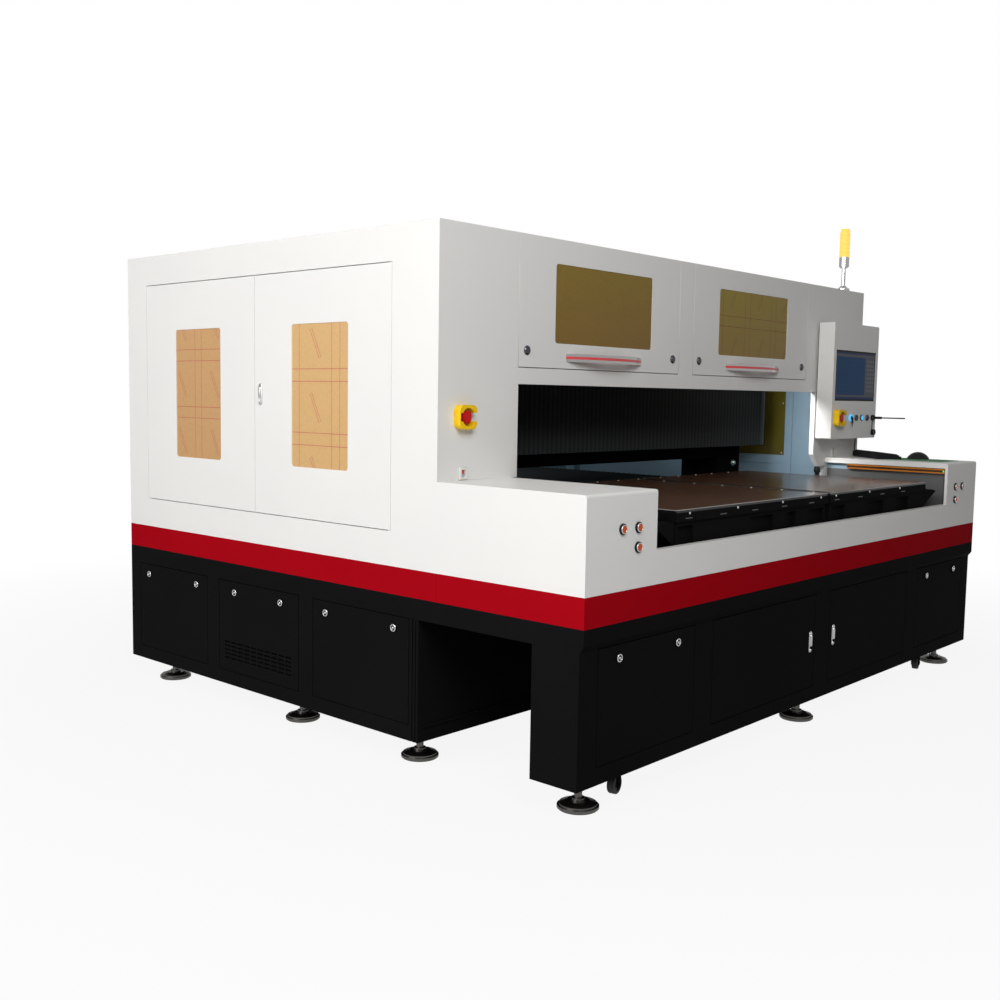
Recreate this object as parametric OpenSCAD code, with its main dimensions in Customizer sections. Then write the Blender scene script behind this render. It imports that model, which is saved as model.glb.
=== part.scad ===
// Laser cutting machine for glass sheets: a portal with a moving cutting head in a tall housing,
// and two tables that carry the glass in and out through the front. Millimetres, floor at z = 0.

/* [Overall] */
// Width of the machine over its side skins
machine_w = 2880; // [2600:20:3200]
// Depth from the front apron to the rear wall
machine_d = 2360; // [2300:20:2600]
// Height of the housing's roof above the floor
machine_h = 1710; // [1680:10:1900]

/* [Base] */
// Height of the base's underside above the floor
base_clear = 97; // [94:1:110]
// Height of the base's top beam above the floor
base_top = 556; // [540:2:600]
// Height of the red band above the base
band_h = 89; // [60:1:120]
// Set-back of the base's front behind the lip of its top beam
base_set = 14; // [8:1:30]
// Height of the beam's lip
lip_h = 47; // [30:1:60]
// Height of the slope under the lip
lip_slope_h = 19; // [10:1:30]
// Width and depth of a corner leg
leg_w = 171; // [150:1:190]
// Width of the post between the two front doors
post_w = 112; // [90:1:150]
// Distance from the front skin to the rear cabinet's front wall
cabinet_y = 650; // [600:5:700]
// Height of the rail under the doors and covers
sill_h = 50; // [40:1:70]
// Thickness of the base's sheet
base_sheet = 4; // [3:0.5:6]
// Depth of the frame that the doors and covers sit in
fascia_t = 22; // [20:1:30]

/* [Doors and covers of the base] */
// Width of each front door
base_door_w = 698; // [600:1:740]
// Width of each outer front cover
front_cover_w = 498; // [420:1:520]
// Space between the side covers
side_cover_space = 76; // [60:1:90]
// Distance from the last side cover to the rear skin
side_cover_rear = 68; // [40:1:90]
// Distance from the rear cabinet's front wall to its first cover
side_cover_start = 41; // [30:1:60]
// Thickness of a door or cover
leaf_t = 18; // [14:1:20]
// Gap round a door or cover
leaf_gap = 3; // [2:0.5:4]
// Radius of a cover's lock
lock_r = 13; // [10:0.5:15]
// Distance from a lock's centre to the cover's top
lock_drop = 41; // [35:1:60]
// Distance from a side cover's lock to the cover's side
lock_inset = 72; // [60:1:110]
// Distance from the vented cover's lock to the cover's side
vent_lock_inset = 103; // [60:1:130]
// Distance from a front cover's lock to the cover's side
front_lock_inset = 99; // [95:1:130]
// Height of a front door's pull latch
latch_h = 78; // [60:1:90]
// Width of a pull latch
latch_w = 20; // [16:1:24]
// Distance from a pull latch to its door's free edge
latch_inset = 34; // [25:1:60]

/* [Feet and casters] */
// Radius of a foot's pad
foot_r = 62; // [45:1:70]
// Height of a foot's pad
foot_pad_h = 26; // [20:1:30]
// Radius of a foot's threaded stem
foot_stem_r = 12; // [8:0.5:14]
// Distance from a foot to the side of the machine
foot_inset_x = 123; // [90:1:130]
// Distance from the front feet to the front skin
foot_inset_y = 103; // [85:1:120]
// Radius of a caster's wheel
wheel_r = 30; // [26:0.5:31]
// Width of a caster's wheel
wheel_w = 25; // [20:1:28]
// Height of the casters' wheels above the floor
wheel_lift = 3; // [1:1:5]
// Distance from a caster's swivel to the side of the machine
caster_inset_x = 316; // [300:1:340]
// Distance from a caster's swivel to its axle
caster_trail = 26; // [15:1:28]
// Turn of the casters as they were left
caster_turn = 12; // [0:1:60]

/* [Front section] */
// Distance from the front skin to the housing's front
front_d = 575; // [540:5:600]
// Height of the ledges above the floor
ledge_z = 925; // [915:1:940]
// Width of each ledge
ledge_w = 336; // [320:1:350]
// Depth of the ledges' front return beside the tables
ledge_return = 12; // [8:1:20]
// Set-back of the plate behind each ledge's open side
ledge_plate_set = 26; // [20:1:40]
// Height of the apron's top edge
apron_z = 747; // [730:1:760]
// Thickness of the white skins
skin_t = 2; // [1.5:0.5:3]
// Depth of the folded edges behind the skins
fold_d = 22; // [18:1:26]
// Radius of the ledges' front fold
ledge_r = 9; // [4:1:14]

/* [Housing] */
// Width of the left front column
column_left_w = 364; // [350:1:380]
// Width of the right front column
column_right_w = 458; // [450:1:475]
// Depth of the lintel between the opening and the lift doors
lintel_h = 53; // [40:1:70]
// Size of the slanted corner at the foot of each column
column_cut = 57; // [50:1:70]
// Height of the columns' lower edge
column_z = 885; // [875:1:900]
// Thickness of the inner lining
liner_t = 3; // [2:0.5:5]
// Size of the lining's posts
liner_post = 60; // [50:1:80]

/* [Front lift doors] */
// Width of a lift door
lift_door_w = 930; // [900:1:940]
// Share of the front above the ledges that the lift doors take
lift_door_share = 0.5478; // [0.52:0.005:0.57]
// Distance from the left skin to the left lift door
lift_door_x = 361; // [340:1:380]
// Spacing of the two lift doors
lift_door_pitch = 1028; // [1000:1:1040]
// Width of a lift door's window
lift_window_w = 558; // [480:1:600]
// Distance from a lift door's window to the roof
lift_window_head = 81; // [70:1:110]
// Distance from the lower edge of the door to its window
lift_window_rise = 86; // [75:1:100]
// Length of a bow handle
handle_l = 438; // [380:1:460]
// Height of a bow handle above its door's lower edge
handle_rise = 40; // [34:1:50]
// Reach of a bow handle in front of its door
handle_reach = 46; // [36:1:60]
// Height of the bow handle's bar
handle_h = 28; // [20:1:30]
// Thickness of the bow handle's bar
handle_t = 9; // [6:0.5:12]

/* [Side doors] */
// Distance from the red band to the side doors
side_door_foot = 111; // [95:1:140]
// Distance from the side doors to the roof
side_door_head = 112; // [95:1:140]
// Distance from the side doors to the rear skin
side_door_rear = 138; // [120:1:180]
// Distance from the housing's front to the first side door
side_door_y = 206; // [180:1:230]
// Width of a window in a side door
side_window_w = 297; // [250:1:340]
// Distance from a side window to its door's top and foot
side_window_end = 178.5; // [160:0.5:200]
// Radius of the windows' corners
window_r = 11; // [6:1:16]
// Depth of the lift doors and the side doors
door_t = 18; // [16:1:18]
// Thickness of a window pane
pane_t = 4; // [3:0.5:6]
// Margin of a pane behind its skin
pane_lap = 25; // [15:1:35]
// Height of the side doors' flush latch
flush_latch_h = 78; // [60:1:90]

/* [Portal] */
// Distance from the front skin to the portal's front face
portal_y = 1134; // [1120:1:1150]
// Depth of the portal
portal_d = 210; // [180:1:240]
// Height of the beam's underside
beam_z = 900; // [895:1:910]
// Share of the height from the beam's underside to the roof that the beam takes
beam_share = 0.4938; // [0.47:0.0002:0.506]
// Share of that height that the laser source takes
source_share = 0.2346; // [0.2:0.0002:0.25]
// Length of the laser source
source_l = 780; // [700:10:800]
// Distance from the portal's left end to the laser source
source_x = 700; // [680:10:760]
// Length of the beam tube beside the laser source
source_tube_l = 160; // [120:5:180]
// Distance from each side skin to the portal's outer face
portal_inset = 160; // [130:1:165]
// Width of a portal leg
portal_leg_w = 211; // [190:1:215]
// Width of the head's carriage
carriage_w = 340; // [300:1:360]
// Place of the carriage at rest, from the portal's left end
carriage_x = 260; // [255:1:300]
// Height and depth of the carriage's guide rails
guide_t = 20; // [16:1:24]
// Reach of the carriage in front of the portal
carriage_reach = 132; // [120:1:135]
// Radius of the cutting head's sliding barrel
barrel_r = 30; // [24:1:34]
// Radius of the cutting head's lens housing
lens_r = 45; // [40:1:50]
// Height of the cutting head's nozzle above the floor, at rest
nozzle_z = 890; // [885:1:895]
// Pitch of the beam cover's folds
beam_fold_pitch = 28; // [24:1:34]
// Depth of the beam cover's folds
beam_fold_d = 22; // [16:1:26]
// Distance from the beam's underside to the beam cover
beam_cover_rise = 63; // [55:1:68]
// Distance from the beam cover to the beam's top
beam_cover_head = 10; // [8:1:20]

/* [Tables] */
// Height of the tabletop
table_z = 853; // [850:0.5:856]
// Thickness of the brown tabletop
board_t = 10; // [8:1:14]
// Distance from the front skin to the tables
table_y = 22; // [20:1:40]
// Depth of a table
table_d = 862; // [800:1:880]
// Distance from the left ledge to the left table
table_left_gap = 134; // [120:1:140]
// Distance from the right table to the right ledge
table_right_gap = 182; // [170:1:190]
// Width of the left table
left_table_w = 994; // [960:1:1010]
// Gap between the two tables
table_split = 20; // [12:1:30]
// Depth of the table's skirt below its rim
skirt_h = 115; // [90:1:120]
// Height of the table's rim
rim_h = 28; // [20:1:32]
// Set-back of the skirt behind the rim
skirt_set = 8; // [4:1:14]
// Depth of the pockets in the skirt
pocket_d = 14; // [8:1:20]
// Clearance between the wedge plates and the portal's legs
wedge_gap = 4; // [3:0.5:8]
// Width of a guide rail under the tables
rail_w = 24; // [18:1:28]
// Height of a guide rail under the tables
rail_h = 22; // [18:1:26]
// Pitch of the table covers' folds
table_fold_pitch = 32; // [26:1:40]
// Depth of the table covers' folds
table_fold_d = 24; // [18:1:28]
// Height of the table covers' top
table_cover_z = 802; // [795:1:806]
// Side of the bars that tie the tables' rails together
bed_bar = 60; // [50:1:70]
// Distance from the table rails' ends to the tie bars
bed_bar_inset = 20; // [10:1:30]
// Distance from the rear skin to the table covers' rear end
table_cover_rear = 120; // [110:1:140]

/* [Console] */
// Width of the console
console_w = 463; // [455:1:475]
// Distance from the housing's front to the console's face
console_d = 89; // [80:1:110]
// Gap between the console and the housing, bridged by its mount
console_gap = 14; // [8:1:20]
// Height of the console's underside
console_z = 1016; // [1005:1:1040]
// Height of the console
console_h = 528; // [500:1:540]
// Distance from the right skin to the console
console_inset = 7; // [5:1:9]
// Width of the screen
screen_w = 413; // [400:1:420]
// Height of the screen
screen_h = 231; // [220:1:236]
// Distance from the console's underside to the screen
screen_rise = 174; // [165:1:185]
// Distance from the console's underside to its row of controls
controls_rise = 96; // [90:1:100]
// Distance from the console's side to the emergency button
estop_inset = 58; // [50:1:64]
// Distance from the console's side to the first small control
first_control_inset = 193; // [180:1:200]
// Spacing of the console's small controls
control_pitch = 58; // [54:1:60]

/* [Buttons and light] */
// Radius of a push button's bezel
bezel_r = 15; // [12:0.5:17]
// Radius of a push button's cap
cap_r = 11; // [8:0.5:13]
// Travel of a push button
button_travel = 3; // [2:0.5:4]
// Radius of an emergency button
estop_r = 20; // [16:0.5:22]
// Travel of an emergency button
estop_travel = 5; // [4:0.5:6]
// Half the width of the guard round an emergency button
guard_r = 37.5; // [35:0.5:39]
// Depth of the guard
guard_d = 28; // [22:1:34]
// Width of a rocker switch
rocker_w = 15; // [12:1:18]
// Height of a rocker switch
rocker_h = 21; // [18:1:26]
// Radius of the signal lamp
lamp_r = 24; // [20:0.5:28]
// Height of the signal lamp's lens
lamp_h = 131; // [110:1:150]
// Height of the lamp's pole and base above the roof
lamp_rise = 159; // [140:1:180]

/* [Hidden] */
$fn = 48;

eps = 0.5;
fit = 0.3;
estop_stem_r = 11;
band_top = base_top + band_h;
beam_low = base_top - lip_h - lip_slope_h;
rear_y = machine_d;
side_cover_w = (rear_y - side_cover_rear - cabinet_y - side_cover_start - 2 * side_cover_space) / 3;
side_cover_pitch = side_cover_w + side_cover_space;
lift_door_z = machine_h - (machine_h - ledge_z) * lift_door_share;
lintel_z = lift_door_z - lintel_h;
lift_window_h = machine_h - lift_door_z - lift_window_rise - lift_window_head;
side_door_z = band_top + side_door_foot;
side_door_h = machine_h - side_door_head - side_door_z;
side_door_w = (rear_y - side_door_rear - front_d - side_door_y - leaf_gap) / 2;
side_window_side = (side_door_w - side_window_w) / 2;
side_window_h = side_door_h - 2 * side_window_end;
beam_h = (machine_h - beam_z) * beam_share;
beam_cover_z = beam_z + beam_cover_rise;
beam_cover_h = beam_h - beam_cover_rise - beam_cover_head;
leaf_z0 = base_clear + sill_h;
leaf_h = beam_low - leaf_z0;
pin_r = 4;
pin_l = 12;
hinge_in = 8;
hinge_back = 6;
right_ledge_x = machine_w - ledge_w;
column_right_x = machine_w - column_right_w;

white = "whitesmoke";
black = "#1d1d1f";
blue_grey = "lightsteelblue";
chrome = "silver";

// Everything is drawn from the left front corner of the floor, and the part stands on its centre.
module place() {
  translate([-machine_w / 2, -machine_d / 2, 0]) children();
}

// The same thing on the machine's other side.
module other_side() {
  translate([machine_w, 0, 0]) mirror([1, 0, 0]) children();
}

module both_sides() {
  children();
  other_side() children();
}

module box(x0, x1, y0, y1, z0, z1) {
  translate([x0, y0, z0]) cube([x1 - x0, y1 - y0, z1 - z0]);
}

// Turn a shape drawn in plan so that it faces the front, the left side or upwards.
module facing_front() {
  mirror([0, 1, 0]) rotate([90, 0, 0]) children();
}

module facing_left() {
  rotate([90, 0, 90]) children();
}

module pin_along_y(x, z, y0, length, r) {
  translate([x, y0, z]) rotate([-90, 0, 0]) cylinder(h = length, r = r);
}

module pin_along_x(y, z, x0, length, r) {
  translate([x0, y, z]) rotate([0, 90, 0]) cylinder(h = length, r = r);
}

// Sheet panel with folded edges: its face is at w = 0 and its folds point to +w.
// Each hole is [u, v, width, height], has folded edges too, and has corners of radius r.
module panel(u, v, depth, t, holes = [], r = 0) {
  difference() {
    cube([u, v, depth]);
    difference() {
      translate([t, t, t]) cube([u - 2 * t, v - 2 * t, depth]);
      for (h = holes)
        translate([h[0] - t, h[1] - t, 0]) cube([h[2] + 2 * t, h[3] + 2 * t, depth]);
    }
    for (h = holes) translate([h[0], h[1], -eps]) {
      if (r > 0) linear_extrude(height = depth + 2 * eps) rounded(h[2], h[3], r);
      if (r == 0) cube([h[2], h[3], depth + 2 * eps]);
    }
  }
}

// Rectangle with round corners, made of true arcs.
module rounded(w, h, r) {
  translate([r, 0]) square([w - 2 * r, h]);
  translate([0, r]) square([w, h - 2 * r]);
  for (x = [r, w - r], y = [r, h - r]) translate([x, y]) circle(r);
}

// Doors and covers of the base

side_cover_ys = [for (i = [0 : 2]) cabinet_y + side_cover_start + i * side_cover_pitch];
front_cover_x = (machine_w / 2 - post_w / 2 - base_door_w - front_cover_w) / 2 - 10;
base_door_x = machine_w / 2 - post_w / 2 - base_door_w;

// Recess for a lift-off cover: a full opening with a ledge behind it all round.
module cover_recess(w) {
  seat = 14;
  translate([0, 0, -eps]) cube([w, leaf_h, leaf_t + eps]);
  translate([seat, seat, 0]) cube([w - 2 * seat, leaf_h - 2 * seat, fascia_t + eps]);
}

module lift_off_cover(w, inset = lock_inset) {
  difference() {
    translate([leaf_gap, leaf_gap, 0]) cube([w - 2 * leaf_gap, leaf_h - 2 * leaf_gap, leaf_t]);
    for (u = [inset, w - inset])
      translate([u, leaf_h - lock_drop, -eps]) cylinder(h = leaf_t + 1, r = lock_r);
  }
}

module pair_of_locks(w, inset = lock_inset) {
  for (u = [inset, w - inset])
    translate([u, leaf_h - lock_drop, 0]) cover_lock();
}

// Quarter-turn lock with a rim on the cover's face, a key slot and a tongue behind the frame.
module cover_lock() {
  difference() {
    union() {
      cylinder(h = fascia_t + eps, r = lock_r - fit);
      translate([0, 0, -3]) cylinder(h = 3, r = lock_r + 2);
    }
    translate([-1, -lock_r * 0.45, -3 - eps]) cube([2, lock_r * 0.9, 4]);
  }
  translate([-8, 0, fascia_t]) cube([16, lock_drop - leaf_gap, 3]);
}

vent_slot = [34, 6];
vent_rows = 5;
vent_columns = 10;

module vent_slots(w) {
  for (i = [0 : vent_columns - 1], j = [0 : vent_rows - 1])
    translate([43 + i * 41, 48 + j * 15, -eps]) cube([vent_slot[0], vent_slot[1], leaf_t + 2]);
}

module side_covers() {
  for (i = [0 : 2])
    translate([0, side_cover_ys[i], leaf_z0]) facing_left()
      difference() {
        lift_off_cover(side_cover_w, i == 1 ? vent_lock_inset : lock_inset);
        if (i == 1) vent_slots(side_cover_w);
      }
}

module side_locks() {
  for (i = [0 : 2])
    translate([0, side_cover_ys[i], leaf_z0]) facing_left()
      pair_of_locks(side_cover_w, i == 1 ? vent_lock_inset : lock_inset);
}

module cover_locks() {
  color(chrome) place() {
    both_sides() side_locks();
    both_sides() translate([front_cover_x, base_set, leaf_z0]) facing_front()
      pair_of_locks(front_cover_w, front_lock_inset);
  }
}

module service_covers() {
  color(black) place() {
    both_sides() side_covers();
    both_sides() translate([front_cover_x, base_set, leaf_z0]) facing_front()
      lift_off_cover(front_cover_w, front_lock_inset);
  }
}

// Front door of the base, hung on pins near its outer edge. Drawn for the left door.
module base_door_leaf() {
  x0 = base_door_x + leaf_gap;
  x1 = base_door_x + base_door_w - leaf_gap;
  z0 = leaf_z0 + leaf_gap;
  z1 = leaf_z0 + leaf_h - leaf_gap;
  latch_x = base_door_x + base_door_w - latch_inset;
  box(x0, x1, base_set, base_set + leaf_t, z0, z1);
  translate([x0 + hinge_in, base_set + hinge_back, z0 - pin_l])
    cylinder(h = z1 - z0 + 2 * pin_l, r = pin_r);
  translate([latch_x, base_set + eps, leaf_z0 + leaf_h / 2]) pull_latch(latch_h);
}

// Flush latch with a rounded plate and a raised lever.
module pull_latch(h) {
  translate([0, 0, -h / 2]) rotate([90, 0, 0]) linear_extrude(height = 3)
    translate([-latch_w / 2, 0]) rounded(latch_w, h, latch_w / 2 - 1);
  translate([0, 0, -h / 2 + 12]) rotate([90, 0, 0]) linear_extrude(height = 7)
    translate([-latch_w / 4, 0]) rounded(latch_w / 2, h - 30, latch_w / 4 - 0.5);
}

module base_door_left() {
  color(black) place() base_door_leaf();
}

module base_door_right() {
  color(black) place() other_side() base_door_leaf();
}

// Base

module front_beam_profile(t) {
  polygon([
    [t, base_top - t],
    [t, base_top - lip_h + t / 3],
    [base_set + t, beam_low + t],
    [leg_w + base_set - t, beam_low + t],
    [leg_w + base_set - t, base_top - t]
  ]);
}

side_beam_w = 80;
cross_ys = [cabinet_y, rear_y - side_beam_w];

module tube_x(x0, x1, y0, y1, z0, z1, t) {
  difference() {
    box(x0, x1, y0, y1, z0, z1);
    box(x0 - eps, x1 + eps, y0 + t, y1 - t, z0 + t, z1 - t);
  }
}

module tube_y(x0, x1, y0, y1, z0, z1, t) {
  difference() {
    box(x0, x1, y0, y1, z0, z1);
    box(x0 + t, x1 - t, y0 - eps, y1 + eps, z0 + t, z1 - t);
  }
}

module leg(x0, x1) {
  difference() {
    box(x0, x1, base_set + fascia_t, base_set + leg_w, base_clear, beam_low);
    box(x0 + base_sheet, x1 - base_sheet, base_set + fascia_t - eps,
      base_set + leg_w - base_sheet, base_clear + base_sheet, beam_low + eps);
  }
}

module hinge_holes() {
  z0 = leaf_z0 + leaf_gap - pin_l - fit;
  translate([base_door_x + leaf_gap + hinge_in, base_set + hinge_back, z0])
    cylinder(h = leaf_h - 2 * leaf_gap + 2 * (pin_l + fit), r = pin_r + fit);
}

// Front frame of the base, with the openings for two doors and two covers.
module front_fascia() {
  difference() {
    box(0, machine_w, base_set, base_set + fascia_t, base_clear, beam_low);
    both_sides() {
      translate([front_cover_x, base_set, leaf_z0]) facing_front() cover_recess(front_cover_w);
      door_opening();
    }
  }
}

// The front doors' stop is a step beside the middle post.
module door_opening() {
  step = 12;
  x1 = base_door_x + base_door_w;
  box(base_door_x, x1 - step, base_set - eps, base_set + fascia_t + eps, leaf_z0, leaf_z0 + leaf_h);
  box(x1 - step - eps, x1, base_set - eps, base_set + leaf_t + fit, leaf_z0, leaf_z0 + leaf_h);
  hinge_holes();
}

axle_z = wheel_r + wheel_lift;
axle_r = 5;

// Fixed half of a caster: top plate, swivel, fork and axle. The wheel trails towards -x.
module caster_fork(x) {
  inner = wheel_w / 2 + 1.5;
  crown_z = base_clear - 21;
  translate([x, foot_inset_y, 0]) rotate([0, 0, caster_turn]) {
    translate([-35, -30, base_clear - 5]) cube([70, 60, 5 + eps]);
    translate([0, 0, crown_z - eps]) cylinder(h = 18, r = 24);
    translate([-caster_trail - 14, -inner - 3, crown_z - 4]) cube([caster_trail + 34, 2 * inner + 6, 4]);
    for (s = [-1, 1])
      translate([-caster_trail - 12, s * (inner + 1.5) - 1.5, axle_z - 11])
        cube([24, 3, crown_z - axle_z + 9]);
    translate([-caster_trail, inner + 5, axle_z]) rotate([90, 0, 0])
      cylinder(h = 2 * inner + 10, r = axle_r);
  }
}

module base_frame() {
  color(black) place() difference() {
    union() {
      difference() {
        facing_left() linear_extrude(height = machine_w) front_beam_profile(0);
        translate([side_beam_w, 0, 0]) facing_left()
          linear_extrude(height = machine_w - 2 * side_beam_w) front_beam_profile(6);
      }
      front_fascia();
      leg(0, leg_w);
      leg(machine_w / 2 - post_w / 2, machine_w / 2 + post_w / 2);
      leg(machine_w - leg_w, machine_w);
      both_sides() tube_y(0, side_beam_w, base_set + leg_w, rear_y, beam_low, base_top, 5);
      for (y = cross_ys)
        tube_x(side_beam_w, machine_w - side_beam_w, y, y + side_beam_w, beam_low, base_top, 5);
      tube_x(side_beam_w, machine_w - side_beam_w, portal_y, portal_y + portal_d, beam_low, base_top, 5);
      // sill behind the front frame's foot
      for (x0 = [leg_w, machine_w / 2 + post_w / 2])
        tube_x(x0 - eps, x0 + (machine_w - post_w) / 2 - leg_w + 2 * eps, base_set + fascia_t - eps,
          base_set + leg_w, base_clear, base_clear + sill_h, 4);
      caster_fork(caster_inset_x);
      caster_fork(machine_w - caster_inset_x);
    }
    both_sides() hinge_holes();
  }
}

// Wheel with a rounded tread, a hub and a bore for its axle.
module caster_wheel(x) {
  translate([x, foot_inset_y, axle_z]) rotate([0, 0, caster_turn])
    translate([-caster_trail, 0, 0]) rotate([90, 0, 0]) rotate_extrude() difference() {
      union() {
        translate([0, -wheel_w / 2]) square([wheel_r - 4, wheel_w]);
        translate([0, -wheel_w / 2 + 4]) square([wheel_r, wheel_w - 8]);
        for (s = [-1, 1]) translate([wheel_r - 4, s * (wheel_w / 2 - 4)]) circle(4);
      }
      translate([-1, -wheel_w]) square([axle_r + fit + 1, 2 * wheel_w]);
      for (s = [-1, 1])
        translate([11, s * wheel_w / 2 - (s > 0 ? 4 : 0)]) square([10, 4]);
    }
}

module caster_wheel_left() {
  color("dimgray") place() caster_wheel(caster_inset_x);
}

module caster_wheel_right() {
  color("dimgray") place() caster_wheel(machine_w - caster_inset_x);
}

foot_rows = [foot_inset_y, 766, 1385, rear_y - 123];

// Foot with a rimmed pad, a threaded stem, a lock nut and a weld plate.
module foot() {
  rotate_extrude() union() {
    square([foot_r - 6, foot_pad_h - 8]);
    translate([0, 4]) square([foot_r, foot_pad_h - 18]);
    translate([foot_r - 6, 4]) circle(4);
    polygon([[0, foot_pad_h - 9], [foot_r - 6, foot_pad_h - 9], [34, foot_pad_h], [0, foot_pad_h]]);
  }
  cylinder(h = base_clear - 10, r = foot_stem_r);
  translate([0, 0, foot_pad_h - 1]) cylinder(h = 9, r = 20);
  translate([0, 0, base_clear - 32]) cylinder(h = 18, r = 22, $fn = 6);
  translate([0, 0, base_clear - 14]) cylinder(h = 14, r = 26);
}

module levelling_feet() {
  color(chrome) place() for (x = [foot_inset_x, machine_w / 2, machine_w - foot_inset_x], y = foot_rows)
    translate([x, y, 0]) foot();
}

// Rear cabinet under the housing, open behind its lift-off covers.
module rear_cabinet() {
  color(black) place() difference() {
    union() {
      difference() {
        box(0, machine_w, cabinet_y, rear_y, base_clear, beam_low);
        box(fascia_t, machine_w - fascia_t, cabinet_y + base_sheet, rear_y - base_sheet,
          base_clear + base_sheet, beam_low + eps);
      }
      // flange along the foot of the front wall
      box(fascia_t, machine_w - fascia_t, cabinet_y - 6, cabinet_y + eps,
        base_clear + 46, base_clear + 52);
    }
    both_sides() {
      for (y = side_cover_ys) translate([0, y, leaf_z0]) facing_left() cover_recess(side_cover_w);
      corner_groove();
    }
  }
}

// Upright shadow gaps beside the cabinet's front corner.
module corner_groove() {
  for (y = [cabinet_y + 10, cabinet_y + 24])
    box(-eps, 8, y, y + 4, base_clear - eps, beam_low + eps);
}

// Red band: four folded strips, with a seam where the housing starts.
module red_band() {
  seam = 1;
  color("crimson") place() {
    translate([0, 0, base_top]) facing_front() panel(machine_w, band_h, fold_d, skin_t);
    both_sides() side_band(seam);
    translate([fold_d, rear_y, base_top]) mirror([0, 1, 0])
      facing_front() panel(machine_w - 2 * fold_d, band_h, fold_d, skin_t);
  }
}

module side_band(seam) {
  translate([0, fold_d, base_top]) facing_left()
    panel(front_d - fold_d - seam, band_h, fold_d, skin_t);
  translate([0, front_d, base_top]) facing_left()
    panel(rear_y - front_d, band_h, fold_d, skin_t);
}

// White front cover

// Section of a ledge with a round fold at its front edge, inset by t.
module ledge_profile(t) {
  r = ledge_r - t;
  y0 = t;
  z1 = ledge_z - t;
  difference() {
    translate([y0, band_top]) square([front_d - y0, z1 - band_top]);
    translate([y0 - eps, z1 - r]) square([r + eps, r + eps]);
  }
  translate([y0 + r, z1 - r]) circle(r);
}

button_rows = [
  [ledge_w - 171, 821],
  [ledge_w - 95, 821],
  [ledge_w - 95, 764]
];

module ledge_block() {
  difference() {
    facing_left() linear_extrude(height = ledge_w) ledge_profile(0);
    translate([skin_t, 0, 0]) facing_left() linear_extrude(height = ledge_w - 2 * skin_t)
      ledge_profile(skin_t);
    box(skin_t, ledge_w - skin_t, skin_t, front_d + eps, band_top - eps, ledge_z - fold_d);
    // the side towards the tables is open behind a narrow front return
    box(ledge_w - 2 * skin_t, ledge_w + eps, ledge_return, front_d + eps,
      band_top + fold_d, ledge_z - fold_d);
    for (b = button_rows) pin_along_y(b[0], b[1], -eps, skin_t + 2 * eps, cap_r + fit);
  }
  for (b = button_rows) button_bezel(b[0], b[1]);
}

module button_bezel(x, z) {
  difference() {
    pin_along_y(x, z, -5, 5 + eps, bezel_r);
    pin_along_y(x, z, -6, 8, cap_r + fit);
  }
  difference() {
    pin_along_y(x, z, skin_t - eps, 26, bezel_r - 1);
    pin_along_y(x, z, 0, 24, cap_r + fit);
  }
}

module front_cover() {
  color(white) place() {
    both_sides() ledge_block();
    // apron with folded top and bottom edges
    translate([ledge_w, 0, band_top]) facing_front()
      panel(machine_w - 2 * ledge_w, apron_z - band_top, fold_d, skin_t);
  }
}

// Push button: a round cap on a plunger. Its axis runs along Y.
module push_button(x, y, z) {
  pin_along_y(x, z, y - 8, 22, cap_r);
}

module left_button_outer() {
  color("orange") place() push_button(button_rows[0][0], 0, button_rows[0][1]);
}

module left_button_inner() {
  color("orange") place() push_button(button_rows[1][0], 0, button_rows[1][1]);
}

module left_button_lower() {
  color("orange") place() push_button(button_rows[2][0], 0, button_rows[2][1]);
}

module right_button_outer() {
  color("orange") place() other_side() push_button(button_rows[0][0], 0, button_rows[0][1]);
}

module right_button_inner() {
  color("orange") place() other_side() push_button(button_rows[1][0], 0, button_rows[1][1]);
}

module right_button_lower() {
  color("orange") place() other_side() push_button(button_rows[2][0], 0, button_rows[2][1]);
}

// Light curtain bars under the ledges' inner edges.
curtain = [24, 450, 20];

module light_curtains() {
  color("orange") place() both_sides() curtain_bar();
}

module curtain_bar() {
  x0 = ledge_w - ledge_plate_set;
  z0 = ledge_z - fold_d - curtain[2] - 3;
  difference() {
    box(x0, x0 + curtain[0], ledge_return + 2, ledge_return + 2 + curtain[1], z0, z0 + curtain[2]);
    // window along the face
    box(x0 + curtain[0] - 2, x0 + curtain[0] + eps, ledge_return + 14, ledge_return + curtain[1] - 10,
      z0 + 6, z0 + curtain[2] - 6);
  }
}

// Housing

side_opening_y = front_d + side_door_y;
side_opening_w = 2 * side_door_w + leaf_gap;
window_margin_v = side_window_end;
window_margin_u = side_window_side;

skin_y0 = front_d + fold_d;

module side_hinge_holes() {
  for (y = [side_opening_y + leaf_gap + hinge_in, side_opening_y + side_opening_w - leaf_gap - hinge_in])
    translate([hinge_back, y, side_door_z + leaf_gap - pin_l - fit])
      cylinder(h = side_door_h - 2 * leaf_gap + 2 * (pin_l + fit), r = pin_r + fit);
}

// Hinge blocks above and below the side doors carry their pins.
module side_hinge_blocks() {
  for (y = [side_opening_y, side_opening_y + side_opening_w - 30])
    for (z = [side_door_z - 24, side_door_z + side_door_h])
      box(skin_t - eps, fold_d, y, y + 30, z, z + 24);
}

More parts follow.
